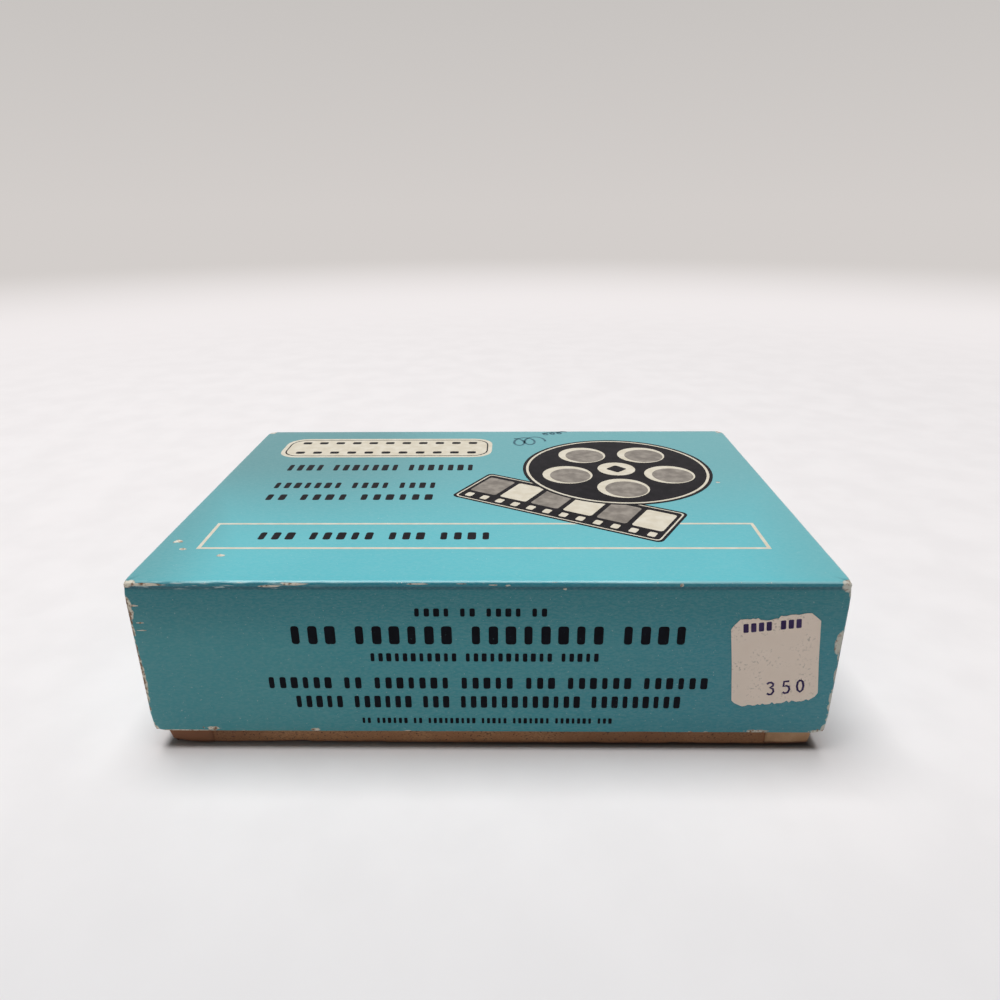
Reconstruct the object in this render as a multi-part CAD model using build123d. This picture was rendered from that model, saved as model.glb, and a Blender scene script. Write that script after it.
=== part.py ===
from build123d import *
import math
import os

os.makedirs("parts", exist_ok=True)

# A film splicer packed in its two-piece set-up carton.
# Millimetres, +Z up.  The origin is the centre of the carton's underside, on the table.
# X runs along the carton, -Y is its front.
#
# The splicer is drawn in its own frame first: x to its right, y from its front edge to its back,
# z up from the underside of its feet, with the origin at the middle of its base.
# It then lies in the tray with its right side towards the carton's front.

# --- splicer base -----------------------------------------------------------------------------
BASE_L = 133.0            # front to back
BASE_W = 79.0             # left to right
BASE_CORNER_R = 8.0
LOWER_TIER_H = 7.5
UPPER_TIER_H = 6.0
LEDGE = 3.0               # step between the two tiers
TIER_EASE = 0.7           # eased top edges of both tiers
TIER_DRAFT = 3.0          # degrees, lower tier
WALL = 2.4                # moulded wall and deck
FOOT_RISE = 1.5           # rim of the base above the underside of the feet
FOOT_SIDE = 10.0          # square rubber pads
FOOT_EASE = 0.6
FOOT_SET = 1.2            # how far a foot is let into its pad
FOOT_GAP = 0.1
FOOT_PAD_WALL = 1.5
FOOT_INSET_X = 11.0
FOOT_INSET_Y = 12.0
RIB_T = 1.6               # stiffening ribs under the deck
RIB_H = 7.6
RIB_SPREAD = 17.0
CHEEK_T = 4.5             # raised cheeks beside the beds
CHEEK_FRONT = 26.5        # front edge of base to front of cheek
CHEEK_NOSE_R = 7.0
CHEEK_EAR_R = 4.5         # ear round the hinge rod
CHANNEL_FRONT = 20.6      # front edge of base to the film channel
CHANNEL_W = 8.4
CHANNEL_DEPTH = 2.0
RIDGE_T = 1.2             # ridge between channel and well
WELL_DEPTH = 4.0          # sunken floor under the beds
WELL_BACK = 6.0           # behind the hinge line
WEB_T = 3.6               # raised cross web behind the hinge
WEB_H = 3.0
WEB_EASE = 1.0
DISH_FROM_LEFT = 37.1
DISH_FROM_FRONT = 95.1
DISH_WELL_R = 19.0
DISH_WELL_DEPTH = 9.0
RING_R = 23.0             # raised ring round the dish
RING_H = 3.0
RING_LEDGE_DEPTH = 1.6
RING_EASE = 0.8
ROOT = 1.0                # how far a raised form reaches into what carries it
PAST = 1.0                # how far a cut runs past what it cuts

# --- film line, hinge and clamps --------------------------------------------------------------
BED_RISE = 10.0           # film plane above the deck
CHEEK_DROP = 0.4          # cheeks below the film plane
HINGE_FROM_FRONT = 65.0
HINGE_DROP = 1.0          # rod axis below the film plane
ROD_R = 1.5
ROD_GAP = 0.05            # radial clearance of everything that turns on the rod
ROD_SEAT_GAP = 0.03       # radial clearance of the fixed supports
KNUCKLE_R = 3.0
KNUCKLE_W = 4.0
KNUCKLE_GAP = 0.3
ROD_PROUD = 0.3           # rod past its caps
LUG_W = 3.0
SEAM_FROM_LEFT = 25.3
SEAM_GAP = 0.3            # between the two clamp plates
SEAM_JOG = 1.5            # sideways step of the seam near the hinge
SEAM_JOG_REACH = 8.5
FILM_GAP = 0.1            # film between bed and clamp
FILM_W = 8.1
GROOVE_DEPTH = 0.15
PIN_STEP = 4.234          # perforation pitch of the film
PIN_REACH = 22.0          # hinge line to pins
LEFT_PINS_AT = (1.5, 3.5)  # perforations from the seam
RIGHT_PINS_AT = (1.5, 4.5)
PIN_W = 0.85
PIN_L = 1.05
PIN_DEPTH = 2.1           # pressed into the bed
PIN_RISE = 0.8            # above the film plane
PIN_EASE = 0.25
PIN_TO_FILM_MIDDLE = 2.9
LEFT_BED_T = 3.5
RIGHT_BED_T = 3.0
BED_REACH = 33.4
BED_BACK = 4.2
BED_SIDE_GAP = 0.3
BED_EASE = 0.5
RIGHT_BED_W = 24.0
REST_GAP = 0.05
BLADE_T = 0.8
BLADE_H = 6.0
BLADE_GAP = 0.12
BLADE_BACK = 5.0
BLADE_EASE = 1.0
CLAMP_T = 1.2
CLAMP_BACK = 3.6          # plate edge to hinge line, clear of the neighbours' knuckles
CLAMP_OVERHANG = 2.0      # left plate over the cheek
CLAMP_CORNER_R = 0.9
EAR_CLEAR = 2.0           # left plate to the cheek's ear
LEFT_REACH = 44.4
RIGHT_REACH = 41.7
NOTCH_REACH = 35.7
LEFT_NOTCH_W = 8.7
RIGHT_NOTCH_W = 10.7
RIGHT_FRONT_W = 24.5      # seam to the front right corner
RIGHT_WIDE_W = 29.2       # seam to the widest point
RIGHT_WIDE_REACH = 23.0
RIGHT_WIDE_BACK = 13.5
RIGHT_BACK_W = 22.6
RIGHT_BACK_REACH = 6.8
PANEL_H = 0.5             # pressed panel on a clamp plate
PANEL_L = 10.0
PANEL_REACH = 13.0
PANEL_MARGIN = 2.6
PANEL_R = 2.5
PANEL_WALL = 0.6
PANEL_EASE = 0.35
SLOT_W = 2.0
SLOT_L = 3.4
KNOB_R = 2.75
KNOB_H = 5.0
KNOB_CROWN = 0.6
KNOB_WAIST_R = 1.65
KNOB_HEAD_Z = 2.4
KNOB_STEM_R = 1.3
KNOB_REACH = 37.1
KNOB_FROM_SEAM = 3.5
LOBE_R = 3.2
LOBE_ROOT = 2.0
RIVET_R = 2.0
RIVET_T = 0.5
STEM_GAP = 0.05
CATCH_FROM_SEAM = 8.7
CATCH_W = 2.4
CATCH_T = 0.4
CATCH_TAIL = 4.5
CATCH_DROP = 5.0
CATCH_JOG = 2.0
CATCH_TIP = 4.0
CATCH_GAP = 0.35
CATCH_BEND_R = 0.5
WASHER_T = 0.5
WASHER_R = 3.1
WASHER_GAP = 0.1
WASHER_BORE_GAP = 0.1
WIRE_D = 0.6
WIRE_SIDES = 6
SPRING_R = 2.3            # rod axis to wire centre
SPRING_TURNS = 4
SPRING_PITCH = 1.4
SPRING_GAP = 0.05
POST_T = 4.0
POST_EAR_R = 4.0
CLIP_R = 2.6
CLIP_T = 0.8
CLIP_GAP = 0.1
PEDESTAL_SIDE = 7.2
PEDESTAL_FRONT = 29.0
PEDESTAL_REAR = 11.0
SCREW_HEAD_R = 2.0
SCREW_HEAD_H = 1.1
SCREW_R = 1.0
SCREW_L = 8.0
SCREW_GAP = 0.05
SCREW_SLOT_W = 0.5
SCREW_SLOT_DEPTH = 0.5
TRACK_T = 0.6
TRACK_LIP = 0.8
TRACK_GAP = 0.2
PLATE_L = 41.0            # oval nameplate
PLATE_W = 8.5
PLATE_T = 0.5
PLATE_FROM_FRONT = 9.6
PLATE_FROM_LEFT = 36.3
DISH_T = 0.6
DISH_LIP = 1.9
DISH_DEPTH = 8.0
DISH_GAP = 0.3
DISH_KNEE = 3.0

# --- carton -----------------------------------------------------------------------------------
BOARD = 1.1               # chipboard
FOLD_R = 0.5              # outer corner of folded board
WRAP = 0.15               # printed paper
STAY_T = 0.15             # corner stay paper
STAY_W = 10.0
STAY_MARGIN = 0.6
LID_GAP = 0.5             # lid to tray, each side
TRAY_END = 3.375          # free space past the splicer's ends
TRAY_SIDE = 8.15          # free space past the splicer's sides
HEADROOM = 8.35           # knobs to the inside of the lid
REVEAL = 5.1              # tray seen below the lid
TURN_IN = 10.0            # wrap turned in over the lid's lower edge
LID_EASE = 0.75           # eased edges of the wrapped lid
GLUE_EASE = 0.1           # board corners eased more than the paper over them
COLLAR_T = 0.8
COLLAR_FOLD_R = 0.8
COLLAR_H = 20.9
COLLAR_GAP = 0.3          # collar to tray wall
COLLAR_HOLE_GAP = 0.5     # collar to splicer
LABEL_W = 18.6
LABEL_H = 22.4
LABEL_T = 0.12
LABEL_CLIP = 2.2
LABEL_TURN = 5.5          # degrees
LABEL_FROM_RIGHT = 13.3
LABEL_FROM_TOP = 18.9

# --- levels and places that follow from the sizes above ----------------------------------------
RIM_Z = FOOT_RISE
LEDGE_Z = RIM_Z + LOWER_TIER_H
DECK_Z = LEDGE_Z + UPPER_TIER_H
CEILING_Z = DECK_Z - WALL
WELL_Z = DECK_Z - WELL_DEPTH
FILM_Z = DECK_Z + BED_RISE
CHEEK_Z = FILM_Z - CHEEK_DROP
HINGE_Z = FILM_Z - HINGE_DROP
CLAMP_Z = FILM_Z + FILM_GAP
KNOB_Z = CLAMP_Z + CLAMP_T
HINGE_Y = HINGE_FROM_FRONT - BASE_L / 2
SEAM_X = SEAM_FROM_LEFT - BASE_W / 2
UPPER_X = BASE_W / 2 - LEDGE
CHEEK_X = UPPER_X - CHEEK_T
CHANNEL_Y = CHANNEL_FRONT - BASE_L / 2
WELL_FRONT_Y = CHANNEL_Y + CHANNEL_W + RIDGE_T
WELL_BACK_Y = HINGE_Y + WELL_BACK
DISH_X = DISH_FROM_LEFT - BASE_W / 2
DISH_Y = DISH_FROM_FRONT - BASE_L / 2
PIN_Y = HINGE_Y - PIN_REACH
FILM_Y = PIN_Y + PIN_TO_FILM_MIDDLE
LEFT_BED_X0 = -CHEEK_X + BED_SIDE_GAP
LEFT_BED_X1 = SEAM_X - BLADE_GAP / 2 - BLADE_T
RIGHT_BED_X0 = SEAM_X + BLADE_GAP / 2 + BLADE_T
RIGHT_BED_X1 = RIGHT_BED_X0 + RIGHT_BED_W
LEFT_PINS_X = [SEAM_X - PIN_STEP * n for n in LEFT_PINS_AT]
RIGHT_PINS_X = [SEAM_X + PIN_STEP * n for n in RIGHT_PINS_AT]

# stations along the rod, left to right
PITCH_W = KNUCKLE_W + KNUCKLE_GAP
JOG_X = SEAM_X - SEAM_JOG
LEFT_CLAMP_KNUCKLES = (LEFT_BED_X0 + KNUCKLE_GAP, JOG_X - PITCH_W)
LUG_X0 = LEFT_CLAMP_KNUCKLES[0] + PITCH_W
RIGHT_BED_KNUCKLES = (RIGHT_BED_X0, RIGHT_BED_X1 - KNUCKLE_W)
RIGHT_CLAMP_KNUCKLES = (RIGHT_BED_KNUCKLES[0] + PITCH_W, RIGHT_BED_KNUCKLES[1] - PITCH_W)
WASHER_X0 = RIGHT_BED_X1 + WASHER_GAP
SPRING_X0 = WASHER_X0 + WASHER_T + SPRING_GAP
SPRING_L = SPRING_TURNS * SPRING_PITCH + 2 * WIRE_D
POST_X0 = SPRING_X0 + SPRING_L + SPRING_GAP

# carton, outwards from the splicer
TRAY_IN_L = BASE_L + 2 * TRAY_END
TRAY_IN_W = BASE_W + 2 * TRAY_SIDE
TRAY_L = TRAY_IN_L + 2 * BOARD
TRAY_W = TRAY_IN_W + 2 * BOARD
LID_IN_L = TRAY_L + 2 * (STAY_T + LID_GAP + WRAP)
LID_IN_W = TRAY_W + 2 * (STAY_T + LID_GAP + WRAP)
LID_BOARD_L = LID_IN_L + 2 * BOARD
LID_BOARD_W = LID_IN_W + 2 * BOARD
LID_L = LID_BOARD_L + 2 * WRAP
LID_W = LID_BOARD_W + 2 * WRAP
TRAY_H = BOARD + KNOB_Z + KNOB_H + HEADROOM
LID_TOP_Z = TRAY_H + BOARD + WRAP


def place(piece):
    """From the splicer's own frame to its place in the tray."""
    return Pos(0, 0, BOARD) * Rot(0, 0, -90) * piece


def slab(width, depth, radius, z0, z1):
    """A plate with rounded vertical corners, centred on the axis."""
    return extrude(Pos(0, 0, z0) * RectangleRounded(width, depth, radius), amount=z1 - z0)


def block(x0, x1, y0, y1, z0, z1):
    """A plain rectangular block between limits, used for walls and cuts."""
    middle = Pos((x0 + x1) / 2, (y0 + y1) / 2, (z0 + z1) / 2)
    return middle * Box(x1 - x0, y1 - y0, z1 - z0)


def post(x, y, radius, z0, z1):
    """An upright round pillar."""
    return Pos(x, y, z0) * extrude(Circle(radius), amount=z1 - z0)


def pillar(x, y, side, z0, z1):
    """An upright square pillar."""
    half = side / 2
    return block(x - half, x + half, y - half, y + half, z0, z1)


def on_rod(x0, length, radius):
    """A round bar on the hinge line."""
    return extrude(Plane.YZ.offset(x0) * Pos(HINGE_Y, HINGE_Z) * Circle(radius), amount=length)


# --- splicer: fixed pieces --------------------------------------------------------------------

def foot_places():
    x = BASE_W / 2 - FOOT_INSET_X
    y = BASE_L / 2 - FOOT_INSET_Y
    return [(sx * x, sy * y) for sx in (-1, 1) for sy in (-1, 1)]


def cheek(x0):
    """Raised cheek with a rounded nose and an ear round the rod, drawn from the side."""
    front_y = CHEEK_FRONT - BASE_L / 2
    back_y = WELL_BACK_Y + WEB_T
    with BuildSketch(Plane.YZ.offset(x0)) as side:
        with BuildLine():
            Line((front_y, LEDGE_Z), (front_y, CHEEK_Z - CHEEK_NOSE_R))
            RadiusArc((front_y, CHEEK_Z - CHEEK_NOSE_R), (front_y + CHEEK_NOSE_R, CHEEK_Z), CHEEK_NOSE_R)
            Line((front_y + CHEEK_NOSE_R, CHEEK_Z), (HINGE_Y, CHEEK_Z))
            Line((HINGE_Y, CHEEK_Z), (HINGE_Y + CHEEK_EAR_R, HINGE_Z))
            Line((HINGE_Y + CHEEK_EAR_R, HINGE_Z), (back_y, DECK_Z + WEB_H))
            Line((back_y, DECK_Z + WEB_H), (back_y, LEDGE_Z))
            Line((back_y, LEDGE_Z), (front_y, LEDGE_Z))
        make_face()
        with Locations((HINGE_Y, HINGE_Z)):
            Circle(CHEEK_EAR_R)
    return extrude(side.sketch, amount=CHEEK_T)


def rod_post():
    """Post on the well floor that stops the side spring."""
    with BuildSketch(Plane.YZ.offset(POST_X0)) as side:
        with Locations((HINGE_Y, HINGE_Z)):
            Circle(POST_EAR_R)
        with Locations((HINGE_Y, (HINGE_Z + WELL_Z) / 2)):
            Rectangle(2 * POST_EAR_R, HINGE_Z - WELL_Z)
    return extrude(side.sketch, amount=POST_T)


def base_moulding():
    lower = extrude(
        Pos(0, 0, RIM_Z) * RectangleRounded(BASE_W, BASE_L, BASE_CORNER_R),
        amount=LOWER_TIER_H,
        taper=TIER_DRAFT,
    )
    lower = chamfer(lower.edges().group_by(Axis.Z)[-1], TIER_EASE)
    upper = slab(2 * UPPER_X, BASE_L - 2 * LEDGE, BASE_CORNER_R - LEDGE, RIM_Z, DECK_Z)
    upper = chamfer(upper.edges().group_by(Axis.Z)[-1], TIER_EASE)
    body = lower + upper

    # hollow underside
    lean = LOWER_TIER_H * math.tan(math.radians(TIER_DRAFT))
    lower_in = WALL + lean
    upper_in = LEDGE + WALL
    step_z = LEDGE_Z - WALL
    body -= slab(BASE_W - 2 * lower_in, BASE_L - 2 * lower_in, BASE_CORNER_R - WALL, 0, step_z)
    body -= slab(BASE_W - 2 * upper_in, BASE_L - 2 * upper_in, BASE_CORNER_R - upper_in, 0, CEILING_Z)

    # floors that hang into the hollow: channel and well, dish well, foot pads, ribs
    inner_x = BASE_W / 2 - upper_in
    tray_front = CHANNEL_Y - WALL
    tray_back = WELL_BACK_Y + WALL
    body += block(-inner_x, inner_x, tray_front, tray_back, WELL_Z - WALL, DECK_Z)
    dish_floor_z = DECK_Z - DISH_WELL_DEPTH
    well_wall = RegularPolygon(DISH_WELL_R + WALL, 8, major_radius=False)
    body += Pos(DISH_X, DISH_Y, dish_floor_z - WALL) * extrude(well_wall, amount=DISH_WELL_DEPTH + WALL)
    for x, y in foot_places():
        body += pillar(x, y, FOOT_SIDE + 2 * FOOT_PAD_WALL, RIM_Z, CEILING_Z)
    for x in (-RIB_SPREAD, RIB_SPREAD):
        x0 = x - RIB_T / 2
        body += block(x0, x0 + RIB_T, upper_in - BASE_L / 2, tray_front, CEILING_Z - RIB_H, CEILING_Z)
        body += block(x0, x0 + RIB_T, DISH_Y, BASE_L / 2 - upper_in, CEILING_Z - RIB_H, CEILING_Z)

    # raised work: cheeks, ring, cross web, rod post, bed pedestals
    body += cheek(-UPPER_X)
    body += cheek(CHEEK_X)
    ring = post(DISH_X, DISH_Y, RING_R, DECK_Z - ROOT, DECK_Z + RING_H)
    ring = chamfer(ring.edges().group_by(Axis.Z)[-1], RING_EASE)
    web = block(-UPPER_X, UPPER_X, WELL_BACK_Y, WELL_BACK_Y + WEB_T, DECK_Z - ROOT, DECK_Z + WEB_H)
    web = chamfer(web.edges().group_by(Axis.Z)[-1].filter_by(Axis.X), WEB_EASE)
    body += web
    body += ring

    # cuts from above
    body -= block(-CHEEK_X, CHEEK_X, CHANNEL_Y, CHANNEL_Y + CHANNEL_W, DECK_Z - CHANNEL_DEPTH, FILM_Z)
    body -= block(-CHEEK_X, CHEEK_X, WELL_FRONT_Y, WELL_BACK_Y, WELL_Z, FILM_Z)
    body -= post(DISH_X, DISH_Y, DISH_WELL_R, dish_floor_z, FILM_Z)
    ledge_r = DISH_WELL_R + DISH_LIP + DISH_GAP
    body -= post(DISH_X, DISH_Y, ledge_r, DECK_Z + RING_H - RING_LEDGE_DEPTH, FILM_Z)
    body += rod_post()
    for x, y, top in pedestals():
        body += pillar(x, y, PEDESTAL_SIDE, WELL_Z - ROOT, top)

    # holes for the rod, the screws and the feet
    body -= on_rod(-BASE_W, 2 * BASE_W, ROD_R + ROD_SEAT_GAP)
    for x, y in screw_places():
        body -= post(x, y, SCREW_R + SCREW_GAP, FILM_Z - SCREW_L - PAST, FILM_Z)
    for x, y in foot_places():
        body -= pillar(x, y, FOOT_SIDE + 2 * FOOT_GAP, 0, RIM_Z + FOOT_SET)
    return body


def screw_places():
    x = (LEFT_BED_X0 + LEFT_BED_X1) / 2
    return [(x, HINGE_Y - PEDESTAL_FRONT), (x, HINGE_Y - PEDESTAL_REAR)]


def pedestals():
    """Pillars under the beds: the left bed is screwed to its two, the right bed rests on its own."""
    left_top = FILM_Z - LEFT_BED_T
    right_top = FILM_Z - RIGHT_BED_T - REST_GAP
    right_x = (RIGHT_BED_X0 + RIGHT_BED_X1) / 2
    places = [(x, y, left_top) for x, y in screw_places()]
    places.append((right_x, HINGE_Y - PEDESTAL_FRONT, right_top))
    places.append((right_x, HINGE_Y - PEDESTAL_REAR, right_top))
    return places


def rubber_feet():
    foot = pillar(0, 0, FOOT_SIDE, 0, RIM_Z + FOOT_SET)
    foot = chamfer(foot.edges().group_by(Axis.Z)[0] + foot.edges().filter_by(Axis.Z), FOOT_EASE)
    return [Pos(x, y, 0) * foot for x, y in foot_places()]


def film_track():
    """Steel strip in the front channel, its long edges turned up."""
    z0 = DECK_Z - CHANNEL_DEPTH
    y0 = CHANNEL_Y + TRACK_GAP
    y1 = CHANNEL_Y + CHANNEL_W - TRACK_GAP
    x = CHEEK_X - TRACK_GAP
    top = z0 + TRACK_T + TRACK_LIP
    strip = block(-x, x, y0, y1, z0, top)
    return strip - block(-x - PAST, x + PAST, y0 + TRACK_T, y1 - TRACK_T, z0 + TRACK_T, top + PAST)


def film_groove(x0, x1):
    y0 = FILM_Y - FILM_W / 2
    return block(x0 - PAST, x1 + PAST, y0, y0 + FILM_W, FILM_Z - GROOVE_DEPTH, FILM_Z + PAST)


def pin_holes(places):
    y0 = PIN_Y - PIN_L / 2
    z0 = FILM_Z - PIN_DEPTH
    return [block(x - PIN_W / 2, x + PIN_W / 2, y0, y0 + PIN_L, z0, FILM_Z + PAST) for x in places]


def bed(x0, x1, thickness):
    """A flat bed plate with eased edges, its film groove and its back edge clear of the hinge."""
    y0 = HINGE_Y - BED_REACH
    y1 = HINGE_Y - BED_BACK
    plate = block(x0, x1, y0, y1, FILM_Z - thickness, FILM_Z)
    plate = chamfer(plate.edges().filter_by(Axis.X).sort_by(Axis.Y)[0:2], BED_EASE)
    return plate - film_groove(x0, x1)


def arm(x0, length, z0, z1, front):
    """A lug that carries one knuckle out to the rod."""
    return block(x0, x0 + length, HINGE_Y - front, HINGE_Y, z0, z1) + on_rod(x0, length, KNUCKLE_R)


def left_bed():
    plate = bed(LEFT_BED_X0, LEFT_BED_X1, LEFT_BED_T)
    plate += arm(LUG_X0, LUG_W, FILM_Z - LEFT_BED_T, FILM_Z, BED_BACK)
    plate -= on_rod(LUG_X0 - PAST, LUG_W + 2 * PAST, ROD_R + ROD_SEAT_GAP)
    for hole in pin_holes(LEFT_PINS_X):
        plate -= hole
    for x, y in screw_places():
        plate -= post(x, y, SCREW_R + SCREW_GAP, FILM_Z - LEFT_BED_T - PAST, FILM_Z + PAST)
        plate -= Pos(x, y, FILM_Z) * screw_head(SCREW_GAP)
    return plate


def screw_head(ease):
    """Countersunk head, its flat top at z = 0."""
    profile = Polyline(
        (0, 0),
        (SCREW_HEAD_R + ease, 0),
        (SCREW_R + ease, -SCREW_HEAD_H - ease),
        (0, -SCREW_HEAD_H - ease),
        (0, 0),
    )
    return revolve(Plane.XZ * make_face(profile), Axis.Z)


def bed_screws():
    """Slotted countersunk screws, flush with the bed, driven into the pedestals."""
    shank = post(0, 0, SCREW_R, -SCREW_L, -SCREW_HEAD_H)
    reach = SCREW_HEAD_R + PAST
    slot = block(-reach, reach, -SCREW_SLOT_W / 2, SCREW_SLOT_W / 2, -SCREW_SLOT_DEPTH, PAST)
    screw = screw_head(0) + shank - slot
    return [Pos(x, y, FILM_Z) * screw for x, y in screw_places()]


def register_pins(places):
    """Small rectangular pins with an eased crown, pressed into a bed."""
    pins = []
    for x in places:
        y0 = PIN_Y - PIN_L / 2
        pin = block(x - PIN_W / 2, x + PIN_W / 2, y0, y0 + PIN_L, FILM_Z - PIN_DEPTH, FILM_Z + PIN_RISE)
        pins.append(chamfer(pin.edges().group_by(Axis.Z)[-1], PIN_EASE))
    return pins


def blade(x0):
    """Shear blade on a bed's seam edge: a thin strip with a ground top corner."""
    y0 = HINGE_Y - BED_REACH
    y1 = HINGE_Y - BLADE_BACK
    strip = block(x0, x0 + BLADE_T, y0, y1, FILM_Z - BLADE_H, FILM_Z)
    strip -= film_groove(x0, x0 + BLADE_T)
    front_edges = strip.edges().filter_by(Axis.X).sort_by(Axis.Y)[0:2]
    return chamfer(front_edges, BLADE_EASE)


def hinge_rod():
    half = UPPER_X + CLIP_GAP + CLIP_T + ROD_PROUD
    return on_rod(-half, 2 * half, ROD_R)


def rod_clips():
    """Push-on caps that keep the rod in the cheeks."""
    cap = extrude(Circle(CLIP_R) - Circle(ROD_R + ROD_SEAT_GAP), amount=CLIP_T)
    right = Plane.YZ.offset(UPPER_X + CLIP_GAP) * Pos(HINGE_Y, HINGE_Z) * cap
    left = mirror(right, Plane.YZ)
    return [left, right]


def side_washer():
    bore = on_rod(WASHER_X0 - PAST, WASHER_T + 2 * PAST, ROD_R + WASHER_BORE_GAP)
    return on_rod(WASHER_X0, WASHER_T, WASHER_R) - bore


def spring_points():
    """Half-turn stations of the coil along x, each with its unit tangent."""
    steps = 2 * SPRING_TURNS
    climb = SPRING_PITCH / (2 * math.pi * SPRING_R)
    size = math.hypot(1, climb)
    stations = []
    for i in range(steps + 1):
        a = math.pi * i
        x = SPRING_X0 + WIRE_D + SPRING_PITCH * i / 2
        where = Vector(x, HINGE_Y + SPRING_R * math.cos(a), HINGE_Z + SPRING_R * math.sin(a))
        along = Vector(climb / size, -math.sin(a) / size, math.cos(a) / size)
        stations.append((where, along))
    return stations


def biarc(start, end):
    """Two tangent arcs from one station to the next."""
    p0, t0 = start
    p1, t1 = end
    chord = p1 - p0
    both = t0 + t1
    turn = 2 * (1 - t0.dot(t1))
    d = (-chord.dot(both) + math.sqrt(chord.dot(both) ** 2 + turn * chord.dot(chord))) / turn
    q0 = p0 + t0 * d
    q1 = p1 - t1 * d
    middle = (q0 + q1) * 0.5
    across = (q1 - q0).normalized()
    return [TangentArc(p0, middle, tangent=t0), TangentArc(middle, p1, tangent=across)]


def least_gap(edges):
    """Least clear distance between turns, from points along the coil."""
    points = [edge @ (k / 12) for edge in edges for k in range(12)]
    apart = math.pi * SPRING_R
    travelled = [0.0]
    for a, b in zip(points, points[1:]):
        travelled.append(travelled[-1] + (b - a).length)
    best = 1e9
    for i, a in enumerate(points):
        for j in range(i + 1, len(points)):
            if travelled[j] - travelled[i] > apart:
                best = min(best, (points[j] - a).length)
    return best - WIRE_D


def side_spring():
    stations = spring_points()
    edges = []
    first, first_way = stations[0]
    last, last_way = stations[-1]
    edges.append(Line(first - first_way * WIRE_D, first))
    for start, end in zip(stations, stations[1:]):
        edges += biarc(start, end)
    edges.append(Line(last, last + last_way * WIRE_D))
    print("side_spring: least gap between turns", round(least_gap(edges), 3), "mm")
    route = Wire(edges)
    section = Plane(origin=route @ 0, z_dir=route % 0) * RegularPolygon(WIRE_D / 2, WIRE_SIDES)
    return sweep(section, path=route)


def nameplate():
    middle = Pos(PLATE_FROM_LEFT - BASE_W / 2, PLATE_FROM_FRONT - BASE_L / 2, DECK_Z)
    return middle * extrude(Ellipse(PLATE_L / 2, PLATE_W / 2), amount=PLATE_T)


def dish():
    """Spun dish: flat lip on the ring's ledge, steep side, a sloped knee and a flat floor."""
    lip_z = DECK_Z + RING_H - RING_LEDGE_DEPTH
    lip_r = DISH_WELL_R + DISH_LIP
    side_r = DISH_WELL_R - DISH_GAP
    floor_z = lip_z - DISH_DEPTH
    bend = DISH_T * (math.sqrt(2) - 1)
    profile = Polyline(
        (lip_r, lip_z),
        (side_r, lip_z),
        (side_r, floor_z + DISH_KNEE),
        (side_r - DISH_KNEE, floor_z),
        (0, floor_z),
        (0, floor_z + DISH_T),
        (side_r - DISH_KNEE - bend, floor_z + DISH_T),
        (side_r - DISH_T, floor_z + DISH_KNEE + bend),
        (side_r - DISH_T, lip_z + DISH_T),
        (lip_r, lip_z + DISH_T),
        close=True,
    )
    return Pos(DISH_X, DISH_Y, 0) * revolve(Plane.XZ * make_face(profile), Axis.Z)


# --- splicer: moving pieces -------------------------------------------------------------------

def right_bed():
    plate = bed(RIGHT_BED_X0, RIGHT_BED_X1, RIGHT_BED_T)
    for x0 in RIGHT_BED_KNUCKLES:
        plate += arm(x0, KNUCKLE_W, FILM_Z - RIGHT_BED_T, FILM_Z, BED_BACK)
    plate -= on_rod(RIGHT_BED_X0 - PAST, RIGHT_BED_W + 2 * PAST, ROD_R + ROD_GAP)
    for hole in pin_holes(RIGHT_PINS_X):
        plate -= hole
    return plate


def clamp_plate(outline, seam_side, knob_x, knuckles, pins, panel_x0, panel_x1):
    """A stamped clamp plate from its outline: lobe, pressed panel, knuckles and pin slots.

    Its corners are rounded where they are further than seam_side from the seam.
    """
    flat = make_face(Polyline(*outline, close=True))
    corners = [v for v in flat.vertices() if abs(v.X - SEAM_X) > seam_side]
    flat = fillet(corners, CLAMP_CORNER_R)
    knob_y = HINGE_Y - KNOB_REACH
    neck_l = KNOB_REACH - NOTCH_REACH + LOBE_ROOT
    lobe = Pos(knob_x, knob_y) * Circle(LOBE_R)
    neck = Pos(knob_x, knob_y + neck_l / 2) * Rectangle(2 * LOBE_R, neck_l)
    plate = extrude(Pos(0, 0, CLAMP_Z) * (flat + lobe + neck), amount=CLAMP_T)
    for x0 in knuckles:
        plate += block(x0, x0 + KNUCKLE_W, HINGE_Y - CLAMP_BACK - ROOT, HINGE_Y, CLAMP_Z, KNOB_Z)
        plate += on_rod(x0, KNUCKLE_W, KNUCKLE_R)
        plate -= on_rod(x0 - PAST, KNUCKLE_W + 2 * PAST, ROD_R + ROD_GAP)

    # pressed panel: raised above, hollow below
    panel = Pos((panel_x0 + panel_x1) / 2, HINGE_Y - PANEL_REACH, 0)
    raised = extrude(RectangleRounded(panel_x1 - panel_x0, PANEL_L, PANEL_R), amount=PANEL_H)
    plate += panel * Pos(0, 0, KNOB_Z) * chamfer(raised.edges().group_by(Axis.Z)[-1], PANEL_EASE)
    pressed = Rectangle(panel_x1 - panel_x0 - 2 * PANEL_WALL, PANEL_L - 2 * PANEL_WALL)
    plate -= panel * Pos(0, 0, CLAMP_Z) * extrude(pressed, amount=PANEL_H)

    for x in pins:
        slot = extrude(Rectangle(SLOT_W, SLOT_L), amount=CLAMP_T + 2 * PAST)
        plate -= Pos(x, PIN_Y, CLAMP_Z - PAST) * slot
    return plate - post(knob_x, knob_y, KNOB_STEM_R + STEM_GAP, CLAMP_Z - PAST, KNOB_Z + PAST)


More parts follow.
